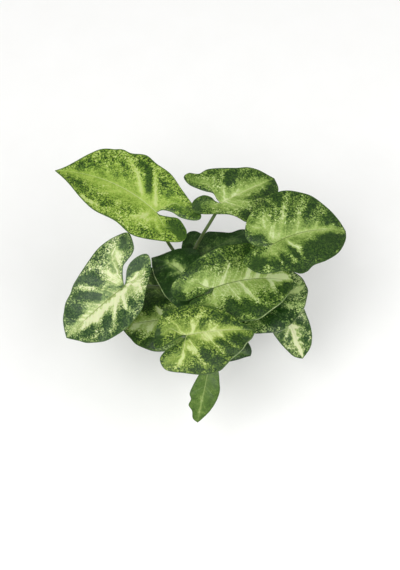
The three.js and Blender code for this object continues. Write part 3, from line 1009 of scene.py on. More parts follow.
@dataclass
class Sheet:
    """The upper side of a blade: vertices, faces, and for each corner of a face a row of values.

    Vertices of different rays or sides that meet are one. `marks` holds the corners' rows.
    """

    plan: list[np.ndarray] = field(default_factory=list)
    levels: list[Pair] = field(default_factory=list)
    index_of: dict[Pair, int] = field(default_factory=dict)
    rows: list[np.ndarray] = field(default_factory=list)
    faces: Faces = field(default_factory=list)
    marks: Faces = field(default_factory=list)

    def vertex(self, place: np.ndarray, top: float, low: float) -> int:
        """The number of the vertex at a place, which is added if it's new there."""
        key = (round(float(place[0]), 3) + 0.0, round(float(place[1]), 3) + 0.0)
        if key not in self.index_of:
            self.index_of[key] = len(self.plan)
            self.plan.append(place)
            self.levels.append((top, low))
        return self.index_of[key]

    def add_side(self, grid: SideGrid, tops: np.ndarray, lows: np.ndarray, turn: int) -> None:
        """Adds one side of the blade.

        Args:
            grid: The side's grid.
            tops: The height of the upper surface at each place of the grid.
            lows: The height of the lower surface there.
            turn: 1 for the blade's left side and -1 for its right side, whose faces turn back.
        """
        spots = zip(grid.places.reshape(-1, 2), tops.tolist(), lows.tolist())
        numbers = [self.vertex(*spot) for spot in spots]
        first = sum(len(table) for table in self.rows)
        self.rows.append(grid.columns())
        rays, rings = grid.number.shape
        for near in range(0, (rays - 1) * rings, rings):
            for k in range(near, near + rings - 1):
                ring = (k, k + 1, k + rings + 1, k + rings)[::turn]
                corners = {numbers[i]: first + i for i in ring}
                if len(corners) > 2:
                    self.faces.append(tuple(corners))
                    self.marks.append(tuple(corners.values()))

    def rim(self) -> tuple[Faces, Faces]:
        """The faces round the margin, down to the blade's lower side, and their corners' rows."""
        count = len(self.plan)
        edges = {pair for face in self.faces for pair in zip(face, face[1:] + face[:1])}
        faces, marks = [], []
        for face, mark in zip(self.faces, self.marks):
            for a, b, mark_a, mark_b in zip(face, face[1:] + face[:1], mark, mark[1:] + mark[:1]):
                if (b, a) not in edges:
                    faces.append((b, a, a + count, b + count))
                    marks.append((mark_b, mark_a, mark_a, mark_b))
        return faces, marks


@dataclass
class Leaf:
    """A leaf: its blade in a frame of its own, where that frame stands, and its stalk.

    In the blade's frame x runs along the midrib from the stalk's joint to the tip, y runs to the
    left of it and z is the blade's upper side. `heading` is the tip's direction and `pitch` how
    far it hangs, in degrees. `arch` and `droop` bend the blade down before and behind the joint,
    `fold` lifts its two halves, `camber` bends them down again and `bow` bends it sideways.
    """

    name: str
    joint: Triple
    heading: float
    pitch: float
    length: float
    left: Side
    right: Side
    stalk: StalkRoute
    look: Blade

    arch: float = 0.15
    droop: float = 0.15
    fold: float = 0.2
    camber: float = 0.25
    bow: float = 0.0
    pucker: float = 0.7
    wave: float = 0.6
    patches: tuple[tuple[float, ...], ...] = ()
    # Soft ovals, read as patches, where a painted highlight is put along the rim.
    painted_rim_highlights: tuple[tuple[float, ...], ...] = ()

    thickness: float = 0.5
    fold_round: float = 4.0
    width_share: float = 0.9
    shoulder_slope: float = 0.5
    lobe_middle: float = 0.42
    lobe_ease: float = 0.3
    lobe_skip: float = 0.45
    lobe_taper: float = 0.55
    tip_taper: float = 0.25
    joint_taper: float = 0.75
    vein_curve: float = 1.4
    gap_limits: Pair = (1.0, 60.0)

    quilt_from: float = 12.0
    groove_depth: float = 0.45
    groove_width: float = 1.3
    ripple_turn: float = 4.2
    ripple_from: float = 14.0
    rib_least: float = 0.2
    rib_more: float = 0.9
    rib_width: float = 0.9
    sharp_from: float = 50.0

    sheath: float = 9.0
    sheath_bend: float = 0.45
    foot_inset: float = 0.7
    head_inset: float = 0.8

    curve_steps: int = 12
    midrib_rays: int = 84
    lobe_rays: int = 36
    rings: int = 24
    ring_bias: float = 1.35

    def axes(self) -> tuple[np.ndarray, np.ndarray, np.ndarray]:
        """The blade frame's x, y and z directions in the plant's frame."""
        heading, pitch = math.radians(self.heading), math.radians(self.pitch)
        east, north = math.cos(heading), math.sin(heading)
        along = np.array([math.cos(pitch) * east, math.cos(pitch) * north, -math.sin(pitch)])
        across = np.array([-north, east, 0.0])
        return along, across, np.cross(along, across)

    def midrib(self, x: np.ndarray) -> np.ndarray:
        """The midrib's sideways place."""
        share = np.clip(x / self.length, 0.0, 1.0)
        return 4 * self.bow * share * (1 - share)

    def height(self, x: np.ndarray, y: np.ndarray) -> np.ndarray:
        """The height of the blade's middle surface before its relief."""
        across = y - self.midrib(x)
        along = np.where(x > 0, self.arch, self.droop) * x * x / self.length
        valley = self.fold * (np.hypot(across, self.fold_round) - self.fold_round)
        return valley - along - self.camber * across * across / (self.width_share * self.length)

    def outline(self, side: Side) -> np.ndarray:
        """A smooth line through one side's outline points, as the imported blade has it."""
        corners = np.array([(self.length, 0), *side.outer, *side.inner, (0, 0)], dtype=float)
        padded = np.vstack([corners[:1], corners, corners[-1:]])
        spans = []
        for before, start, end, after in zip(padded, padded[1:], padded[2:], padded[3:]):
            leave, arrive = (end - before) / 2, (after - start) / 2
            for step in range(self.curve_steps):
                t = step / self.curve_steps
                spans.append(
                    (2 * start - 2 * end + leave + arrive) * t**3
                    + (-3 * start + 3 * end - 2 * leave - arrive) * t**2
                    + leave * t
                    + start
                )
        return np.array([*spans, corners[-1]])

    def rays(self, side: Side) -> tuple[np.ndarray, np.ndarray, np.ndarray]:
        """The rays of one side, from the tip round to the joint.

        Args:
            side: The side's outline.

        Returns:
            The foot of each ray on the midrib or the lobe's middle line, its end at the margin,
            and how broad the vein is at its foot, as a share.
        """
        outline = self.outline(side)
        lobe_at = len(side.outer) * self.curve_steps
        past = outline[:, 0] <= self.shoulder_slope * np.abs(outline[:, 1])
        shoulder_at = int(np.argmax(past))
        shoulder = outline[shoulder_at : lobe_at + 1]
        blade = evenly(outline[: shoulder_at + 1], self.midrib_rays)
        outer = evenly(shoulder, self.lobe_rays)
        inner = evenly(outline[lobe_at:], self.lobe_rays)[::-1]
        down = np.linspace(0, 1, self.midrib_rays + 1)
        out = np.linspace(0, 1, self.lobe_rays + 1)

        # The lobe's middle line lies between its inner edge and what is across from it.
        x = self.length * (1 - down)
        share = (self.lobe_middle * smooth(out, 0.0, self.lobe_ease))[:, None]
        beyond = evenly(shoulder, 10 * self.lobe_rays)
        reach = self.lobe_skip + (1 - self.lobe_skip) * out
        across = beyond[np.rint(reach * (len(beyond) - 1)).astype(int)]
        vein = inner + (across - inner) * share
        feet = np.vstack([np.stack([x, self.midrib(x)], axis=1), vein[1:], vein[::-1][1:]])
        margin = np.vstack([blade, outer[1:], inner[::-1][1:]])
        thin = self.lobe_taper * (1 - out) ** 1.5
        broad = self.tip_taper + (self.joint_taper - self.tip_taper) * down
        return feet, margin, np.concatenate([broad, thin[1:], thin[::-1][1:]])

    def side_grid(self, side: Side) -> SideGrid:
        """The grid of one side, in the blade's own frame."""
        feet, margin, taper = self.rays(side)
        at_feet = counted(feet, [vein.start for vein in side.veins])
        at_margin = counted(margin, [vein.end for vein in side.veins])
        rings = (np.linspace(0, 1, self.rings + 1) ** self.ring_bias)[None, :]
        number = at_feet[:, None] + (at_margin - at_feet)[:, None] * rings**self.vein_curve
        places = feet[:, None, :] + (margin - feet)[:, None, :] * rings[:, :, None]
        reach = np.linalg.norm(margin - feet, axis=1)[:, None]

        # How far two neighbouring veins are apart: one over the slope of their count.
        by_ray, by_ring = np.gradient(places, axis=0), np.gradient(places, axis=1)
        rise_ray, rise_ring = np.gradient(number, axis=0), np.gradient(number, axis=1)
        area = by_ray[..., 0] * by_ring[..., 1] - by_ray[..., 1] * by_ring[..., 0]
        slope = np.hypot(
            rise_ray * by_ring[..., 1] - rise_ring * by_ray[..., 1],
            rise_ray * by_ring[..., 0] - rise_ring * by_ray[..., 0],
        )
        gap = np.clip(np.abs(area) / np.maximum(slope, 1e-6), *self.gap_limits)

        strengths = [vein.strength for vein in side.veins]
        spots = frayed(places, self.heading)
        # Where the painted rim highlights lie; these are not frayed.
        edges = (Patch(*patch).weight(places) for patch in self.painted_rim_highlights)
        return SideGrid(
            places=places, number=number, outward=rings, gap=gap, from_vein=reach * rings,
            from_margin=reach * (1 - rings),
            tone=sum(Patch(*patch).weight(spots) for patch in self.patches),
            strength=np.interp(number, range(1, len(strengths) + 1), strengths),
            taper=taper[:, None], edge=sum(edges, np.zeros_like(number)),
        )

    def relief(self, grid: SideGrid) -> tuple[np.ndarray, np.ndarray]:
        """The puckers, grooves and waves of one side.

        Args:
            grid: The side's grid.

        Returns:
            What is added to the upper surface's height, and the depth of the ribs under the blade.
        """
        beat = np.abs(grid.number - np.round(grid.number)) * 2
        middle = np.sin(math.pi * np.clip(grid.outward * 1.05, 0, 1))
        clear = np.clip(grid.from_vein / self.quilt_from, 0, 1)
        quilt = self.pucker * np.sin(beat * math.pi / 2) * middle * clear
        dip = np.exp(-((grid.from_vein / self.groove_width) ** 2))
        turn = grid.number * self.ripple_turn + self.heading * 0.05
        loose = np.clip(grid.from_vein / self.ripple_from, 0, 1)
        ripple = self.wave * grid.outward**3 * np.sin(turn) * loose
        depth = self.rib_least + self.rib_more * grid.taper
        rib = depth * np.exp(-((grid.from_vein / self.rib_width) ** 2))
        return quilt - self.groove_depth * dip * grid.taper + ripple, rib

    def sheet(self) -> Sheet:
        """The blade's upper side, with its left and its right half."""
        sheet = Sheet()
        for side, turn in ((self.left, 1), (self.right, -1)):
            grid = self.side_grid(side)
            rise, rib = self.relief(grid)
            x, y = grid.places.reshape(-1, 2).T
            tops = self.height(x, y) + rise.ravel()
            sheet.add_side(grid, tops, tops - self.thickness - rib.ravel(), turn)
        return sheet

    def build_blade(self) -> None:
        """Makes the blade's mesh, with the attributes its material reads, and dresses it."""
        name = f"blade_{self.name}"
        along, across, up = self.axes()
        sheet = self.sheet()
        count = len(sheet.plan)
        flat, heights = np.array(sheet.plan), np.array(sheet.levels) + self.thickness / 2
        origin = np.array(self.joint) + flat[:, :1] * along + flat[:, 1:] * across
        points = np.vstack([origin + heights[:, :1] * up, origin + heights[:, 1:] * up])
        under = [tuple(i + count for i in reversed(face)) for face in sheet.faces]
        under_marks = [tuple(reversed(mark)) for mark in sheet.marks]
        rim, rim_marks = sheet.rim()
        mesh = make_mesh(name, points, [*sheet.faces, *under, *rim])

        picked = [k for mark in (*sheet.marks, *under_marks, *rim_marks) for k in mark]
        table = np.vstack(sheet.rows)[picked]
        below = np.zeros((len(picked), 1))
        start = sum(len(mark) for mark in sheet.marks)
        below[start : 2 * start] = 1.0
        for label, values in (
            ("vein_lines", table[:, 0:3]),
            ("blade_reach", np.hstack([table[:, 3:5], below])),
            ("blade_tone", table[:, 5:8]),
            # How strongly the painted rim highlight shows at each corner.
            ("blade_edge", table[:, [8, 8, 8]]),
        ):
            layer = mesh.attributes.new(label, "FLOAT_VECTOR", "CORNER")
            layer.data.foreach_set("vector", values.astype(np.float32).ravel())
        soften(mesh, self.sharp_from)
        mesh.materials.append(self.look.value.material(name))
        finish_piece(make_object(name, mesh), self.look.value.slot, f"leaf_{self.name}")

    def stalk_line(self) -> np.ndarray:
        """The stalk's middle line: out of its stem, which it clasps, and up to the joint."""
        route, stem, up = self.stalk, STEMS[self.stalk.stem], self.axes()[2]
        on_axis, stem_radius = stem.on_axis(route.foot)
        start, end = np.array(route.start, dtype=float), np.array(route.end, dtype=float)
        low = on_axis + unit(start * [1, 1, 0]) * (stem_radius + route.radius * self.foot_inset)
        tilt = math.sqrt(max(0.0, 1 - float(np.dot(unit(-end), up)) ** 2))
        sunk = self.thickness / 2 + route.radius * tilt * self.head_inset
        high = np.array(self.joint) - up * sunk

        inside = stem.on_axis(route.foot - self.sheath)[0]
        bend = low - unit(start) * self.sheath * self.sheath_bend
        t = np.linspace(0, 1, 12, endpoint=False)[:, None]
        clasp = inside * (1 - t) ** 2 + 2 * bend * t * (1 - t) + low * t**2
        t = np.linspace(0, 1, 40)[:, None]
        rise = (
            low * (1 - t) ** 3 + 3 * (low + start) * t * (1 - t) ** 2
            + 3 * (high + end) * t**2 * (1 - t) + high * t**3
        )
        return np.vstack([clasp, rise])

    def build_stalk(self, growth: Growth, material: bpy.types.Material) -> None:
        """Grows the stalk along its line."""
        piece = growth.grow(
            f"petiole_{self.name}", make_line("stalk_line", self.stalk_line()),
            Radius=self.stalk.radius * MM, Tip_Share=0.78, Flare=0.35, Flare_Reach=0.28,
            Ring_Height=0.0, Ring_Spacing=10 * MM, Wobble=0.12 * MM, Round_From=0.99,
            Steps=84, Sides=20, Material=material,
        )
        finish_piece(piece, "leaf_stalk", f"stalk_{self.name}")


LEAVES = (
    Leaf(
        "back_left", (-41, 33, 176), heading=153, pitch=0, length=104, arch=0.1, droop=0.1,
        camber=0.18, bow=-9,
        left=Side(
            outer=[
                (93, 4), (82, 9), (65, 18), (48, 24), (27, 25), (10, 30), (-2, 29), (-15, 25),
                (-27, 20), (-34, 14),
            ],
            inner=[(-33, 6), (-28, 1), (-20, -3), (-12, -1), (-4, 1)],
            veins=(
                Vein((30, -6), (74, 15), 0.35), Vein((4, -1), (25, 26), 0.5),
                Vein((-3, 3), (-16, 25), 0.8),
            ),
        ),
        right=Side(
            outer=[
                (96, -8), (83, -26), (73, -35), (57, -41), (47, -41), (34, -45), (21, -41),
                (5, -37), (-11, -28), (-24, -21), (-35, -16),
            ],
            inner=[(-37, -11), (-31, -7), (-21, -5), (-12, -6), (-4, -4)],
            veins=(
                Vein((50, -9), (80, -29), 0.6), Vein((34, -9), (66, -38), 0.3),
                Vein((17, -6), (58, -41)), Vein((1, -1), (24, -42)),
                Vein((-5, -6), (-13, -27), 0.5),
            ),
        ),
        stalk=StalkRoute("back", 98, 1.7, (-13, 5, 40), (4, -13, -24)),
        look=Blade.YELLOW_GREEN,
        patches=(
            (42, 12, 9, 5, 0, -0.2), (60, 10, 9, 5, -10, -0.2), (78, 4, 12, 5, -12, -0.25),
            (19, 9, 8, 6, 0, -0.12), (-24, 4, 11, 7, 10, -0.42), (-31, 10, 6, 7, 0, -0.35),
            (-17, 15, 13, 7, 15, -0.17), (-5, 24, 12, 5, 5, -0.1), (5, 12, 5, 9, 0, 0.12),
            (19, -23, 11, 4, -62, -0.42), (25, -33, 7, 5, -50, -0.25), (33, -35, 5, 4, 0, -0.3),
            (48, -28, 8, 2.5, -5, -0.28), (43, -20, 4, 3, 0, -0.22), (73, -21, 9, 6, 0, -0.16),
            (83, -12, 9, 5, -20, -0.28), (4, -24, 9, 8, 0, -0.14), (-10, -22, 12, 6, 20, -0.16),
            (-22, -12, 14, 5, 10, -0.26), (-35, -13, 5, 6, 0, -0.35), (50, -5, 38, 3, 0, 0.1),
            (12, -6, 10, 5, -20, 0.06), (22, -42, 20, 3, -10, -0.15), (57, 17, 27, 1.9, -9, 0.42),
            (62, -16, 9, 4, -20, -0.12), (50, -19, 3, 7, 35, -0.12), (39, -16, 2.6, 6, 35, -0.12),
            (59, -18, 8, 1.5, -52, 0.2), (34, 10, 2.4, 8, -12, 0.16), (66, -17, 20, 6, -5, -0.1),
            (8, 15, 9, 10, 0, 0.1), (28, 17, 10, 6, 0, 0.08),
        ),
    ),
    Leaf(
        "back", (15, 38, 183), heading=32, pitch=2, length=57, arch=0.14, droop=0.1, fold=0.28,
        camber=0.2,
        left=Side(
            outer=[(53, 6), (48, 13), (40, 19), (30, 22), (19, 28), (7, 33), (-2, 33), (-9, 38)],
            inner=[(-15, 37), (-15, 29), (-11, 22), (-6, 16), (-1, 11), (-1, 5)],
            veins=(Vein((14, 0), (38, 20), 0.7), Vein((4, 0), (21, 27), 0.9)),
        ),
        right=Side(
            outer=[
                (53, -12), (41, -23), (25, -31), (14, -32), (7, -28), (4, -21), (-1, -14), (-9, -8),
                (-20, 0), (-24, 5),
            ],
            inner=[(-23, 11), (-18, 14), (-11, 14), (-7, 12), (-4, 8), (-3, 4)],
            veins=(
                Vein((17, 0), (42, -22), 0.5), Vein((4, 0), (30, -28)), Vein((0, 0), (5, -24), 0.5),
            ),
        ),
        stalk=StalkRoute("back", 92, 1.8, (0.5, 3, 36), (-12, -18, -16)),
        look=Blade.MID_GREEN,
        patches=(
            (20, 17, 8, 6, 35, -0.42), (15, 12, 4, 3, 0, -0.25), (34, 13, 9, 5, 0, -0.2),
            (46, 8, 7, 4, -30, -0.15), (11, 27, 6, 4, 0, -0.18), (-10, 30, 4, 12, 15, -0.08),
            (28, -9, 8, 3, -10, -0.34), (41, -11, 9, 4, 0, -0.36), (47, -6, 4, 3, 0, -0.25),
            (12, -21, 8, 6, 0, -0.22), (8, -28, 5, 3, 0, -0.2), (-14, 7, 9, 6, 0, -0.22),
            (-21, 8, 4, 7, 0, -0.3), (54, -2, 4, 6, 0, -0.3), (28, 1, 24, 3, 0, 0.14),
            (16, -9, 12, 2.5, -45, 0.16), (6, 10, 4, 14, -10, 0.05),
        ),
    ),
    Leaf(
        "back_right", (59, -5, 192), heading=17, pitch=5, length=68, droop=0.2, fold=0.26,
        camber=0.3, bow=5,
        left=Side(
            outer=[
                (65, 11), (59, 23), (49, 35), (41, 41), (32, 45), (21, 46), (11, 44), (-3, 36),
                (-13, 29),
            ],
            inner=[(-19, 20), (-21, 11), (-16, 2.6), (-7, 0.8)],
            veins=(
                Vein((40, 5), (57, 26), 0.5), Vein((22, 4), (43, 39), 0.8),
                Vein((5, 1), (26, 46), 0.9), Vein((-1, 0), (5, 41)), Vein((-4, 3), (-17, 24), 0.9),
            ),
        ),
        right=Side(
            outer=[
                (64, -9), (53, -20), (39, -26), (26, -28), (19, -32), (12, -33), (5, -29),
                (-1, -27), (-9, -26), (-17, -25), (-24, -21),
            ],
            inner=[(-29, -13), (-29, -8), (-24, -3), (-15, 0.9), (-7, 0.2)],
            veins=(
                Vein((34, 5), (56, -17), 0.1), Vein((11, 2), (30, -27)),
                Vein((0, -1), (12, -33), 0.8), Vein((-6, -4), (-13, -26), 0.5),
            ),
        ),
        stalk=StalkRoute("right", 96, 1.8, (14, -2, 26), (-8, 40, -24)),
        look=Blade.GREEN,
        patches=(
            (-12, 8, 7, 4, -20, -0.3), (-10, 26, 6, 4, 30, -0.2), (8, 23, 9, 2.5, 65, -0.24),
            (14, 37, 7, 5, 30, -0.26), (5, 36, 4, 3, 0, -0.18), (38, 20, 8, 5, 30, -0.2),
            (46, 28, 9, 4, 40, -0.2), (53, 12, 9, 5, 0, -0.3), (61, 13, 3, 8, 20, -0.25),
            (20, 44, 14, 3, 0, -0.2), (1, 19, 13, 4.5, 88, 0.16), (-11, 17, 8, 3, -20, 0.14),
            (30, 5, 30, 3.5, 0, 0.14), (38, -14, 16, 8, 5, -0.42), (55, -9, 11, 7, -25, -0.42),
            (26, -18, 5, 8, 0, -0.36), (14, -13, 4, 8, 25, -0.36), (5, -17, 4, 8, 10, -0.34),
            (-6, -19, 5, 7, 0, -0.36), (-19, -15, 10, 8, 10, -0.42), (16, -28, 12, 5, 0, -0.42),
            (18, -12, 13, 2.6, -62, 0.22), (-3, -8, 3, 8, 0, 0.1), (40, -26, 20, 3, 10, -0.3),
            (50, -4, 13, 4, -3, -0.32), (30, -8, 8, 4, 0, -0.2), (18, 27, 14, 1.6, 62, 0.14),
            (29, 21, 12, 1.5, 66, 0.12), (23, 22, 4, 10, -20, -0.1), (36, 16, 4, 9, -20, -0.1),
        ),
    ),
    Leaf(
        "centre", (9, -31, 158), heading=10, pitch=1, length=72, arch=0.18, droop=0.1, fold=0.26,
        camber=0.22, bow=4,
        left=Side(
            outer=[
                (71, 7), (65, 16), (55, 25), (46, 33), (36, 37), (25, 37), (12, 36), (1, 32),
                (-7, 29), (-18, 23), (-27, 16), (-34, 10),
            ],
            inner=[(-37, 4), (-34, -4), (-26, -8.3), (-16, -5.9), (-8, -4.1), (-4, -1.2)],
            veins=(
                Vein((47, 4), (60, 20), 0.7), Vein((38, 4), (54, 26), 0.7),
                Vein((28, 4), (46, 33), 0.9), Vein((7, 1), (29, 37)), Vein((-1, 0), (-6, 29), 0.4),
                Vein((-9, 0), (-24, 18), 0.4),
            ),
        ),
        right=Side(
            outer=[
                (71, -4), (66, -11), (55, -22), (44, -29), (33, -35), (24, -36), (13, -35),
                (3, -31), (-7, -27), (-19, -20),
            ],
            inner=[(-24, -14), (-22, -9.3), (-15, -6.5), (-8, -4.9), (-4, -4)],
            veins=(
                Vein((49, 3), (59, -18), 0.9), Vein((22, 3), (43, -30), 0.9),
                Vein((12, 2), (27, -36), 0.4), Vein((0, -1), (3, -31), 0.3),
            ),
        ),
        stalk=StalkRoute("right", 91, 1.8, (-8, -8, 28), (-16, -3, -22)),
        look=Blade.PALE_CENTRE,
        patches=(
            # The pale band at the tip's upper margin, (61, 5), is partly the leaf's pale colour and
            # partly painted sheen.
            (22, 6, 26, 5, 0, 0.1), (-6, 6, 3, 6, -20, 0.24), (61, 5, 12, 4.5, 10, 0.42),
            (33, 11, 3, 4, -20, 0.2), (41, 8, 2, 4, -20, 0.16), (8, 24, 6, 5, 0, -0.24),
            (20, 23, 4, 6, 0, -0.24), (-14, 20, 9, 5, 20, -0.26), (-24, 13, 8, 4, 30, -0.26),
            (-33, -1, 7, 9, 0, -0.5), (-16, 1, 12, 4, 0, 0.06), (32, 30, 14, 5, 0, -0.2),
            (-2, 29, 12, 3, 10, -0.15), (16, -6, 30, 7, 0, 0.1), (12, -22, 6, 9, 10, -0.46),
            (24, -23, 6, 8, 0, -0.44), (37, -27, 7, 4, 0, -0.36), (60, -8, 8, 5, 25, -0.4),
            (67, -4, 5, 4, 0, -0.35), (51, -6, 9, 2, -80, 0.26), (44, -15, 8, 5, 0, -0.12),
            (-15, -16, 10, 6, -15, -0.2), (-20, -9, 7, 3, 0, -0.25), (-4, -25, 10, 4, 0, -0.16),
            (29, -10, 12, 1.5, -65, 0.2),
        ),
        # A painted highlight along part of the rim.
        painted_rim_highlights=((47, -26, 22, 10, 33, 0.6),),
    ),
    Leaf(
        "front", (-14, -80, 174), heading=9, pitch=2, length=59, arch=0.2, droop=0.25, fold=0.14,
        camber=0.3, bow=1,
        left=Side(
            outer=[(50, 6), (41, 14), (32, 20), (17, 25), (5, 27), (-7, 25), (-17, 22), (-24, 11)],
            inner=[(-27, 1), (-28, -6), (-23, -8), (-14, -5), (-5, -1)],
            veins=(
                Vein((22, 1), (35, 18), 0.9), Vein((4, 0), (23, 23), 1.1),
                Vein((-1, 0), (-15, 22), 0.8),
            ),
        ),
        right=Side(
            outer=[
                (55, -7), (49, -12), (44, -18), (35, -24), (28, -30), (21, -34), (7, -35),
                (-7, -32), (-21, -27),
            ],
            inner=[(-25, -18), (-21, -12), (-13, -8), (-5, -5)],
            veins=(
                Vein((37, 1), (50, -12), 0.5), Vein((25, 1), (43, -19), 0.9),
                Vein((15, 1), (34, -25), 0.9), Vein((0, -1), (13, -35), 1.1),
                Vein((-4, -6), (-12, -31), 0.8),
            ),
        ),
        stalk=StalkRoute("front", 86, 1.8, (-9, -24, 34), (-13, 6, -26)),
        look=Blade.CREASED_GREEN,
        patches=(
            (15, 9, 5, 4, 30, -0.22), (31, 12, 8, 5, -10, -0.26), (41, 7, 8, 3, -20, -0.24),
            (-24, 4, 8, 5, 90, -0.42), (-14, 22, 14, 3, 10, -0.2), (53, 2, 6, 3, 0, -0.3),
            (18, -3, 9, 5, 10, 0.25), (8, 0, 8, 3, 0, 0.12), (34, 2, 14, 2.5, 0, 0.16),
            (12, -19, 7, 4, -70, -0.34), (22, -25, 6, 4, 0, -0.38), (25, -9, 3, 4, 0, -0.24),
            (33, -11, 7, 5, -30, -0.26), (45, -8, 10, 5, -25, -0.45), (36, -19, 9, 4, 20, -0.26),
            # The dark spot at the joint, (-1, -3), is a painted shadow.
            (-1, -3, 4, 2.5, 30, -0.45), (6, 8, 7, 1.6, 82, 0.32), (12, 16, 8, 1.6, 30, 0.32),
            (4, -17, 10, 1.8, -62, 0.34), (-7, -20, 8, 1.8, 75, 0.3), (22, 9, 8, 1.6, 78, 0.26),
            (10, -31, 12, 3, 0, -0.14), (-20, -25, 8, 4, -20, -0.12), (27, -4, 2, 6, -25, 0.12),
        ),
        # A painted highlight along part of the rim.
        painted_rim_highlights=((42, -18, 18, 9, 42, 0.45),),
    ),
    Leaf(
        "left", (-69, -27, 152), heading=-144, pitch=15, length=69, droop=0.1, fold=0.3,
        camber=0.22,
        left=Side(
            outer=[
                (67, 3), (61, 11), (55, 19), (43, 28), (30, 32), (21, 33), (12, 32), (-1, 28),
                (-7, 23), (-14, 16), (-25, 6), (-32, -4),
            ],
            inner=[(-33, -10), (-27, -13), (-18, -13), (-11, -10), (-4, -3)],
            veins=(
                Vein((46, 0), (60, 13), 0.4), Vein((29, 0), (51, 22), 0.7),
                Vein((8, 0), (38, 30), 1.1), Vein((2, 0), (10, 32), 1.1), Vein((-3, -1), (-9, 21)),
            ),
        ),
        right=Side(
            outer=[
                (65, -8), (60, -15), (51, -22), (42, -26), (35, -30), (25, -33), (10, -38),
                (-1, -41), (-13, -41), (-24, -39), (-30, -37),
            ],
            inner=[(-32, -33), (-28, -22), (-23, -18), (-16, -16), (-10, -14), (-4, -7)],
            veins=(
                Vein((45, 0), (60, -15), 0.4), Vein((26, 0), (50, -22), 0.8),
                Vein((10, 0), (38, -28)), Vein((1, -1), (12, -37), 1.1),
                Vein((-3, -6), (-17, -40), 0.9),
            ),
        ),
        stalk=StalkRoute("left", 93, 1.8, (-7, -4, 32), (20, 6, -16)),
        look=Blade.CREAM_VEINED,
        patches=(
            (30, 4.5, 30, 3.2, 0, 0.27), (38, 9, 8, 4, 20, 0.14), (16, 23, 8, 8, 20, -0.42),
            (3, 18, 6, 3, 80, -0.3), (29, 17, 8, 5, 45, -0.5), (46, 11, 10, 5, -15, -0.4),
            (58, 8, 9, 4, -30, -0.22), (38, 27, 10, 4, -20, -0.2), (-10, 10, 9, 6, 60, 0.2),
            (-20, -7, 12, 5, 0, -0.6), (-28, 3, 6, 6, 0, -0.35), (-14, -1, 13, 1.5, 8, 0.25),
            (22, 29, 12, 3, 0, -0.2), (8, 17, 11, 2.4, 80, 0.3), (20, 14, 14, 2.4, 45, 0.3),
            (17, -20, 7, 8, 10, -0.48), (28, -12, 8, 5, -40, -0.46), (34, -18, 8, 4, -30, -0.4),
            # The darker oval right of the midrib, (16, -5), is painted shade on the half that folds
            # away from the light.
            (48, -11, 12, 8, 0, -0.46), (-21, -28, 7, 7, 0, -0.38), (16, -5, 17, 5, -12, -0.28),
            (-12, -22, 11, 4, 68, 0.28), (5, -20, 12, 3, -72, 0.3), (-3, -32, 5, 7, 0, -0.08),
            (26, -17, 11, 2, -48, 0.3), (28, -28, 10, 3, 0, -0.2), (-27, -34, 6, 5, 0, -0.3),
            # The dark spot at the joint, (2, -1), is a painted shadow.
            (46, -3, 12, 2, -5, 0.16), (2, -1, 3, 2.2, -20, -0.7), (-4, -22, 3, 8, -15, -0.14),
        ),
    ),
    Leaf(
        "inner_left", (-15, -14, 140), heading=142, pitch=8, length=42, arch=0.14, fold=0.22,
        bow=-3,
        left=Side(
            outer=[(34, 8), (25, 15), (13, 21), (4, 25), (-8, 27), (-16, 27)],
            inner=[(-21, 22), (-21, 14), (-15, 7), (-7, 3)],
            veins=(
                Vein((24, -2), (32, 10), 0.6), Vein((10, -2), (18, 19), 0.6),
                Vein((-1, 0), (-8, 27), 0.5),
            ),
        ),
        right=Side(
            outer=[(37, -5), (31, -13), (22, -22), (14, -27), (8, -27), (2, -24), (-4, -19)],
            inner=[(-8, -13), (-8, -6), (-5, -3)],
            veins=(
                Vein((24, -2), (34, -10), 0.6), Vein((9, -2), (22, -22), 0.6),
                Vein((0, 0), (4, -25), 0.5),
            ),
        ),
        stalk=StalkRoute("left", 86, 1.6, (6, 1, 20), (6, -3, -20)),
        look=Blade.DARK_GREEN,
        patches=(
            (14, -3, 16, 3.5, -5, 0.4), (8, -6, 5, 4, -60, 0.34), (18, -7, 7, 2.5, -30, 0.26),
            (12, 3, 6, 2, 40, 0.25),
        ),
        # A painted highlight along part of the rim.
        painted_rim_highlights=((22, 16, 24, 12, -30, 0.75),),
    ),
    Leaf(
        "inner_back", (-4, 18, 118), heading=30, pitch=-3, length=61, fold=0.25,
        left=Side(
            outer=[
                (54, 2), (47, 5), (37, 6), (30, 10), (20, 16), (14, 16), (9, 22), (3, 24), (-4, 21),
            ],
            inner=[(-9, 16), (-11, 12), (-8, 9.5), (-3, 9), (0, 5)],
            veins=(
                Vein((32, 0), (44, 6), 0.6), Vein((16, 0), (27, 12), 0.8),
                Vein((2, 0), (9, 22), 0.8),
            ),
        ),
        right=Side(
            outer=[(57, -9), (50, -17), (38, -23), (25, -25), (14, -23), (4, -19), (-5, -14)],
            inner=[(-10, -10), (-11, -6), (-8, -3), (-4, -3)],
            veins=(
                Vein((32, 0), (50, -17), 0.5), Vein((16, 0), (34, -24), 0.5),
                Vein((0, 0), (8, -21), 0.5),
            ),
        ),
        stalk=StalkRoute("back", 84, 1.6, (8, 1, 12), (2, -4, -14)),
        look=Blade.DARK_GREEN,
        patches=(
            (4, 11, 5, 2.5, 80, 0.35), (7, 1, 6, 3, 20, 0.26), (22, 3, 7, 3, 70, 0.24),
            (34, -2, 9, 4, -20, 0.2),
        ),
    ),
    Leaf(
        "low_left", (-30, -43, 114), heading=-178, pitch=6, length=47, arch=0.2,
        left=Side(
            outer=[(41, 9), (37, 14), (31, 21), (19, 28), (10, 30), (-1, 29), (-9, 25)],
            inner=[(-14, 18), (-12, 11), (-6, 5)],
            veins=(
                Vein((30, 0), (40, 11), 0.5), Vein((14, 0), (30, 21), 0.8),
                Vein((1, 0), (10, 30), 0.8),
            ),
        ),
        right=Side(
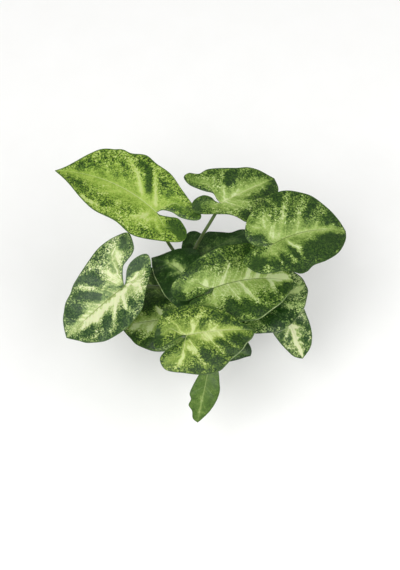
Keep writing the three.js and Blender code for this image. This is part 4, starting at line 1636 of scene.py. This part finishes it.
            outer=[(45, -7), (39, -14), (31, -18), (22, -21), (13, -21), (3, -20), (-6, -19)],
            inner=[(-13, -14), (-14, -8), (-7, -2)],
            veins=(
                Vein((22, 0), (38, -14), 0.6), Vein((6, -1), (15, -21), 1.2),
                Vein((0, 0), (-4, -19), 0.5),
            ),
        ),
        stalk=StalkRoute("left", 86, 1.6, (-4, -12, 20), (10, 3, -12)),
        look=Blade.GREEN,
        patches=(
            (22, 3, 15, 7, 0, 0.22), (33, 3, 7, 2.6, 5, 0.18), (17, 11, 3, 6, 0, 0.1),
            (22, 21, 10, 6, 0, -0.3), (36, 14, 7, 5, -40, -0.2), (13, -18, 14, 6, 0, -0.36),
            (10, -9, 7, 1.9, -60, 0.36), (26, -14, 8, 5, 0, -0.3), (40, -4, 5, 5, 0, -0.3),
            (32, 20, 6, 3, -30, 0.1), (3, -8, 6, 4, 10, -0.3), (18, -9, 5, 3, 0, -0.15),
        ),
    ),
    Leaf(
        "low_centre", (-36, -13, 94), heading=137, pitch=3, length=50,
        left=Side(
            outer=[(42, 9), (30, 17), (18, 20), (7, 18), (-3, 14)],
            inner=[(-10, 9), (-10, 4), (-5, 2)],
            veins=(
                Vein((26, 0), (38, 12), 0.5), Vein((10, 0), (22, 19), 0.5),
                Vein((0, 0), (2, 17), 0.5),
            ),
        ),
        right=Side(
            outer=[(43, -7), (33, -13), (22, -16), (11, -16), (0, -14)],
            inner=[(-5, -10), (-7, -6), (-4, -2)],
            veins=(
                Vein((26, 0), (40, -9), 0.5), Vein((10, 0), (24, -16), 0.5),
                Vein((0, 0), (4, -15), 0.5),
            ),
        ),
        stalk=StalkRoute("left", 78, 1.5, (-6, 0, 12), (6, -2, -10)),
        look=Blade.DARK_GREEN,
        patches=((16, 0, 14, 2, 0, 0.2), (20, 0, 30, 25, 0, 0.2)),
    ),
    Leaf(
        "right", (48, -40, 134), heading=32, pitch=4, length=54, arch=0.2, droop=0.2, fold=0.24,
        camber=0.34,
        left=Side(
            outer=[(55, 7), (52, 14), (47, 20), (36, 25), (23, 27), (11, 26), (0, 23)],
            inner=[(-8, 17), (-8, 11), (-4, 5)],
            veins=(
                Vein((34, 0), (51, 15), 0.8), Vein((18, 0), (34, 25), 0.7),
                Vein((3, 0), (12, 26), 0.6),
            ),
        ),
        right=Side(
            outer=[
                (52, -6), (44, -14), (37, -20), (26, -25), (17, -28), (9, -29), (2, -28), (-7, -24),
                (-16, -19),
            ],
            inner=[(-20, -12), (-20.5, -3), (-14.5, 3.2), (-7, 3)],
            veins=(
                Vein((34, 0), (47, -11), 0.8), Vein((18, 0), (34, -21)),
                Vein((3, 0), (14, -28), 0.7), Vein((-3, -3), (-8, -24), 0.6),
            ),
        ),
        stalk=StalkRoute("right", 85, 1.7, (4, -14, 24), (-12, 6, -16)),
        look=Blade.GLOSSY_DARK,
        patches=(
            (43, -1, 11, 3, 0, 0.55), (50, 7, 6, 6, 0, 0.3), (25, -12, 8, 4, -40, 0.34),
            (38, -12, 9, 6, -30, 0.34), (-13, -12, 7, 5, 0, 0.2), (33, -19, 7, 3, 20, 0.2),
            # The dark oval at (14, -8) is painted shadow beside the centre leaf's edge; the one at
            # (9, -17) is partly the leaf's own dark and partly painted shadow.
            (9, -17, 13, 7, 0, -0.3), (14, -8, 12, 3, 0, -0.2), (-4, -20, 6, 4, 0, 0.08),
        ),
        # Painted highlights along parts of the rim.
        painted_rim_highlights=((38, -17, 20, 8, 38, 0.4), (8, -28, 12, 5, 0, 0.25)),
    ),
    Leaf(
        "low_right", (75, -35, 102), heading=-61, pitch=31, length=46, fold=0.28, bow=1,
        left=Side(
            outer=[(43, 5), (39, 10), (31, 15), (22, 17), (10, 18), (1, 18)],
            inner=[(-5, 13), (-6, 6), (-3, 3)],
            veins=(
                Vein((24, 1), (38, 11), 0.6), Vein((10, 1), (30, 15), 1.2),
                Vein((0, 0), (8, 18), 0.8),
            ),
        ),
        right=Side(
            outer=[(42, -5), (37, -9), (27, -13), (18, -16), (8, -18), (-1, -17)],
            inner=[(-7, -12), (-8, -6), (-4, -3)],
            veins=(
                Vein((23, 1), (37, -9), 0.6), Vein((11, 1), (25, -14), 0.9),
                Vein((0, 0), (7, -18), 0.8),
            ),
        ),
        stalk=StalkRoute("right", 77, 1.5, (14, -1, 22), (-16, 12, 8)),
        look=Blade.GREY_GREEN,
        patches=(
            (26, 0.5, 19, 2.4, 0, 0.45), (14, 6, 6, 2, 55, 0.35), (24, 5, 6, 1.6, 60, 0.25),
            (12, 9, 4, 3, 0, -0.35), (20, 11, 7, 3, 15, -0.3), (28, 6, 6, 3, 30, -0.32),
            (36, 7, 8, 3, -25, -0.2), (21, -6, 5, 3, -40, -0.32), (16, -11, 7, 2.5, -10, -0.25),
            # The pale greyish oval at (28, -9) is painted sheen.
            (28, -9, 8, 3, -15, 0.14), (36, -5, 7, 2, -10, -0.12), (4, 0, 8, 16, 0, -0.12),
        ),
    ),
    Leaf(
        "low_front", (8, -65, 106), heading=-10, pitch=10, length=37, camber=0.3,
        left=Side(
            outer=[(37, 5), (33, 11), (25, 17), (15, 19), (5, 17)],
            inner=[(-2, 12), (-6, 6), (-3, 3)],
            veins=(
                Vein((20, 0), (32, 12), 0.6), Vein((8, 0), (20, 18), 0.6),
                Vein((0, 0), (6, 17), 0.5),
            ),
        ),
        right=Side(
            outer=[(32, -3), (26, -7), (15, -13), (7, -16), (-2, -17)],
            inner=[(-7, -12), (-7, -6), (-3, -3)],
            veins=(
                Vein((20, 0), (28, -6), 0.6), Vein((8, 0), (16, -12), 0.6),
                Vein((0, 0), (3, -17), 0.5),
            ),
        ),
        stalk=StalkRoute("front", 80, 1.5, (10, -6, 20), (-4, 14, -4)),
        look=Blade.DARK_GREEN,
        patches=((24, 0, 20, 16, 0, 0.1), (20, 0, 14, 2, 0, 0.2)),
    ),
    Leaf(
        "young_front", (5, -84, 96), heading=-104, pitch=26, length=52, arch=0.2, droop=0.1,
        fold=0.25,
        left=Side(
            outer=[(48, 3), (38, 9), (27, 13), (17, 14), (9, 12), (0, 9)],
            inner=[(-3, 5)],
            veins=(
                Vein((30, 0), (41, 8), 0.6), Vein((16, 0), (28, 13), 0.6),
                Vein((3, 0), (12, 13), 0.6),
            ),
        ),
        right=Side(
            outer=[
                (49, -5), (42, -7), (37, -11), (31, -10), (27, -12), (23, -12), (15, -10), (8, -8),
                (0, -6),
            ],
            inner=[(-3, -3)],
            veins=(
                Vein((30, 0), (40, -8), 0.6), Vein((16, 0), (28, -12), 0.6),
                Vein((3, 0), (12, -9), 0.6),
            ),
        ),
        stalk=StalkRoute("front", 76, 1.2, (-2, -18, 26), (-2, 24, 8)),
        look=Blade.YOUNG_GREEN,
        patches=((32, 0, 14, 1.5, 0, 0.25), (44, 0, 8, 6, 0, 0.05)),
    ),
)


# --------------------------------------------------------------------------------------------------
# Pot and soil
# --------------------------------------------------------------------------------------------------


@dataclass
class Pot:
    """The nursery pot: a tapered cup with a turned-down lip and drain holes in its floor.

    A shallow band stands out from its wall, from `band_low` up to `band_gap` under the lip.
    """

    height: float = 80.0
    base_radius: float = 31.0
    mouth_radius: float = 42.0
    wall: float = 1.6
    floor: float = 2.0
    lip_radius: float = 45.0
    lip_depth: float = 8.0
    lip_groove: float = 1.5
    rounding: float = 0.8
    band_low: float = 12.0
    band_gap: float = 4.0
    band_slope: float = 2.0
    band_rise: float = 0.35
    drain_count: int = 5
    drain_radius: float = 4.0
    drain_circle: float = 20.0
    segments: int = 144
    drill_segments: int = 40
    sharp_from: float = 38.0
    finish: PotFinish = PotFinish()

    def radius(self, height: float) -> float:
        """The wall's outer radius at a height."""
        return self.base_radius + (self.mouth_radius - self.base_radius) * height / self.height

    def profile(self) -> list[Pair]:
        """The section of the pot's wall, from the axis under its floor round to inside it."""
        soft, top = self.rounding, self.height
        roof, lip_foot = top - self.wall, top - self.lip_depth
        band_foot, band_head = self.band_low + self.band_slope, lip_foot - self.band_gap
        band_top = band_head - self.band_slope
        inside = self.mouth_radius + self.lip_groove
        mouth = self.mouth_radius - self.wall
        return [
            (0.0, 0.0),
            (self.base_radius - soft, 0.0),
            (self.base_radius - soft * 0.3, soft * 0.3),
            (self.radius(soft), soft),
            (self.radius(self.band_low) - 0.05, self.band_low),
            (self.radius(band_foot) + self.band_rise, band_foot),
            (self.radius(band_top) + self.band_rise, band_top),
            (self.radius(band_head), band_head),
            (self.radius(roof - soft), roof - soft),
            (self.radius(roof) + soft * 0.4, roof - soft * 0.2),
            (inside - soft * 0.5, roof),
            (inside, roof - soft * 0.5),
            (inside, lip_foot + soft * 0.3),
            (inside + soft * 0.4, lip_foot),
            (self.lip_radius - soft * 0.4, lip_foot),
            (self.lip_radius, lip_foot + soft * 0.4),
            (self.lip_radius, top - soft),
            (self.lip_radius - soft * 0.3, top - soft * 0.3),
            (self.lip_radius - soft, top),
            (mouth + soft, top),
            (mouth + soft * 0.3, top - soft * 0.3),
            (mouth - 0.05, top - soft),
            (self.radius(self.floor + soft) - self.wall, self.floor + soft),
            (self.radius(self.floor) - self.wall - soft, self.floor),
            (0.0, self.floor),
        ]

    def drill(self, piece: bpy.types.Object, angle: float) -> None:
        """Drills one drain hole, at an angle round the axis, through the floor."""
        low, high = -self.floor, 2 * self.floor
        corners = [(0.0, low), (self.drain_radius, low), (self.drain_radius, high), (0.0, high)]
        points, faces = turned(corners, self.drill_segments)
        centre = [self.drain_circle * math.cos(angle), self.drain_circle * math.sin(angle), 0]
        drill = make_object("drain_drill", make_mesh("drain_drill", points + centre, faces))
        cut = piece.modifiers.new("drain", "BOOLEAN")
        cut.object = drill
        cut.operation = "DIFFERENCE"
        cut.solver = "EXACT"
        apply_modifier(piece, cut)
        bpy.data.objects.remove(drill)

    def build(self) -> None:
        """Makes the pot and drills its drain holes."""
        points, faces = turned(self.profile(), self.segments)
        piece = make_object("pot_body", make_mesh("pot_body", points, faces))
        for i in range(self.drain_count):
            self.drill(piece, 2 * math.pi * i / self.drain_count)
        soften(piece.data, self.sharp_from)
        piece.data.materials.clear()
        piece.data.materials.append(self.finish.material())
        finish_piece(piece, "pot_plastic", "nursery_pot")


@dataclass(frozen=True)
class Crumbs:
    """Crumbs of one kind: how they look, how many lie on a square metre and how large they are."""

    finish: GrainFinish
    density: float
    seed: int
    smallest: float
    largest: float
    flatness: float


BARK = Crumbs(
    GrainFinish("bark_crumbs", paint(0x2A1B10), paint(0x6A4B30), 1.6, 0.85),
    density=190000.0, seed=3, smallest=0.5, largest=1.7, flatness=0.55,
)
PERLITE = Crumbs(
    GrainFinish("perlite_grains", paint(0xCFCBC0), paint(0xF0EEE8), 0.8, 0.8),
    density=26000.0, seed=11, smallest=0.5, largest=1.1, flatness=0.85,
)


@dataclass
class RootBall:
    """The plug of compost in the pot, with bark crumbs and perlite on it."""

    pot: Pot
    surface: float = 70.0
    crown: float = 2.0
    sink: float = 0.9
    lump_height: float = 1.1
    crumb_height: float = 0.5
    clearance: float = 0.3
    rim_drop: float = 3.0
    rings: int = 46
    segments: int = 120
    side_steps: int = 12
    ground_margin: float = 2.2
    ground_rings: int = 20
    ground_segments: int = 60
    finish: GrainFinish = GrainFinish("compost", paint(0x1A120C), paint(0x4A3625), 1.2)

    def top_height(self, x: float, y: float) -> float:
        """The height of the compost's surface at a place."""
        share = math.hypot(x, y) / (self.pot.radius(self.surface) - self.pot.wall)
        lumps = noise.noise(Vector((x, y, 0)) * 0.16) * self.lump_height
        lumps += noise.noise(Vector((x, y, 5)) * 0.5) * self.crumb_height
        return self.surface + self.crown * (1 - share) + lumps - self.sink

    def plug(self) -> bpy.types.Mesh:
        """The closed plug, with an uneven top."""
        bottom, rim = self.pot.floor + self.clearance, self.surface - self.rim_drop
        fit = self.pot.wall + self.clearance
        low, high = self.pot.radius(bottom) - fit, self.pot.radius(self.surface) - fit
        shares = [i / self.side_steps for i in range(self.side_steps + 1)]
        sides = [(low + (high - low) * share, bottom + (rim - bottom) * share) for share in shares]
        inward = [(high * (1 - i / self.rings), self.surface) for i in range(self.rings)]
        profile = [(0.0, bottom), *sides, *inward, (0.0, self.surface)]
        points, faces = turned(profile, self.segments)
        for point in points:
            if point[2] >= self.surface - 0.01:
                point[2] = self.top_height(point[0], point[1])
        return make_mesh("compost", points, faces)

    def ground(self) -> bpy.types.Mesh:
        """An open sheet at the compost's surface, on which crumbs are scattered."""
        reach = self.pot.radius(self.surface) - self.pot.wall - self.ground_margin
        points, faces = [(0.0, 0.0, self.top_height(0, 0))], []
        segments, rings = self.ground_segments, self.ground_rings
        for i in range(1, rings + 1):
            for k in range(segments):
                angle = 2 * math.pi * k / segments
                x, y = reach * i / rings * math.cos(angle), reach * i / rings * math.sin(angle)
                points.append((x, y, self.top_height(x, y)))
        for k in range(segments):
            after = (k + 1) % segments
            faces.append((0, 1 + k, 1 + after))
            for low in range(1, (rings - 1) * segments, segments):
                high = low + segments
                faces.append((low + k, high + k, high + after, low + after))
        return make_mesh("ground", np.array(points), faces)

    def build(self, growth: Growth) -> None:
        """Makes the plug and scatters the bark and the perlite."""
        mesh = self.plug()
        soften(mesh)
        mesh.materials.append(self.finish.material())
        finish_piece(make_object("compost", mesh), "potting_soil", "soil_root_ball")
        for crumbs in (BARK, PERLITE):
            piece = growth.grow(
                crumbs.finish.name, self.ground(), Density=crumbs.density, Seed=crumbs.seed,
                Smallest=crumbs.smallest * MM, Largest=crumbs.largest * MM,
                Flatness=crumbs.flatness, Material=crumbs.finish.material(),
            )
            finish_piece(piece, "potting_soil")


# --------------------------------------------------------------------------------------------------
# Studio
# --------------------------------------------------------------------------------------------------


@dataclass(frozen=True)
class Lamp:
    """A square soft lamp, in metres and watts."""

    name: str
    place: Triple
    size: float
    power: float

    def build(self, target: Vector) -> None:
        """Hangs the lamp up, aimed at a place in metres."""
        light = bpy.data.lights.new(self.name, "AREA")
        light.shape = "SQUARE"
        light.size = self.size
        light.energy = self.power
        lamp = bpy.data.objects.new(self.name, light)
        turn = (target - Vector(self.place)).to_track_quat("-Z", "Y").to_matrix().to_4x4()
        lamp.matrix_world = Matrix.Translation(self.place) @ turn
        bpy.context.scene.collection.objects.link(lamp)


@dataclass
class Studio:
    """A plain pale floor, soft light all round and the camera."""

    target: Triple = (-3.0, -8.0, 110.0)
    elevation: float = 67.0
    distance: float = 900.0
    lens: float = 62.0
    sensor: float = 36.0
    clipping: Pair = (0.01, 20.0)
    floor_reach: float = 3000.0
    floor_gap: float = 0.1
    sky_strength: float = 0.42
    lamps: tuple[Lamp, ...] = (
        Lamp("key", (-0.8, -0.75, 2.0), size=1.4, power=31.0),
        Lamp("fill", (1.3, -0.5, 1.7), size=1.8, power=20.0),
    )

    def floor(self) -> None:
        """A pale floor under the pot."""
        far, low = self.floor_reach, -self.floor_gap
        corners = np.array([(-far, -far, low), (far, -far, low), (far, far, low), (-far, far, low)])
        mesh = make_mesh("studio_floor", corners, [(0, 1, 2, 3)])
        material, sketch, shader = surface("floor_paper", Roughness=0.9)
        speck = sketch.noise(sketch.place(), 40.0, 3.0, 0.5)
        colour = sketch.tint(speck, paint(0xF6F6F4), paint(0xFAFAF9))
        sketch.feed(shader.inputs["Base Color"], colour)
        mesh.materials.append(material)
        make_object("studio_floor", mesh)

    def sky(self) -> None:
        """Even white light from all round."""
        world = bpy.data.worlds.new("studio")
        world.use_nodes = True
        background = world.node_tree.nodes["Background"].inputs
        background["Color"].default_value = (1.0, 1.0, 1.0, 1.0)
        background["Strength"].default_value = self.sky_strength
        bpy.context.scene.world = world

    def camera(self) -> None:
        """The camera, which looks at the plant from the front and well above."""
        rise = math.radians(self.elevation)
        back = Vector((0, -math.cos(rise), math.sin(rise)))
        right, up = Vector((1, 0, 0)), Vector((0, math.sin(rise), math.cos(rise)))
        lens = bpy.data.cameras.new("camera")
        lens.lens = self.lens
        lens.sensor_width = self.sensor
        lens.clip_start, lens.clip_end = self.clipping
        camera = bpy.data.objects.new("camera", lens)
        turn = Matrix((right, up, back)).transposed().to_4x4()
        place = (Vector(self.target) + back * self.distance) * MM
        camera.matrix_world = Matrix.Translation(place) @ turn
        bpy.context.scene.collection.objects.link(camera)
        bpy.context.scene.camera = camera

    def build(self) -> None:
        """Sets up the light, the floor and the camera."""
        bpy.context.scene.view_settings.view_transform = "Standard"
        self.sky()
        self.floor()
        for lamp in self.lamps:
            lamp.build(Vector(self.target) * MM)
        self.camera()


def main() -> None:
    """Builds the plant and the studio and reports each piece."""
    logging.basicConfig(level=logging.INFO, format="%(message)s")
    Studio().build()
    pot = Pot()
    pot.build()
    RootBall(pot).build(crumb_growth())
    rods = rod_growth()
    stem_skin = RodFinish(
        "stem_skin", foot=paint(0x5A452C), middle=paint(0x5C5C30), tip=paint(0x5A6C34),
        streak=paint(0x3E301E), roughness=0.6,
    ).material()
    for stem in STEMS.values():
        stem.build(rods, stem_skin)
    stalk_skin = RodFinish(
        "stalk_skin", foot=paint(0x5C4A34), middle=paint(0x4C5A2C), tip=paint(0x4E6630),
        streak=paint(0x3A3A20), roughness=0.42,
    ).material()
    for leaf in LEAVES:
        leaf.build_blade()
        leaf.build_stalk(rods, stalk_skin)


if __name__ == "__main__":
    main()
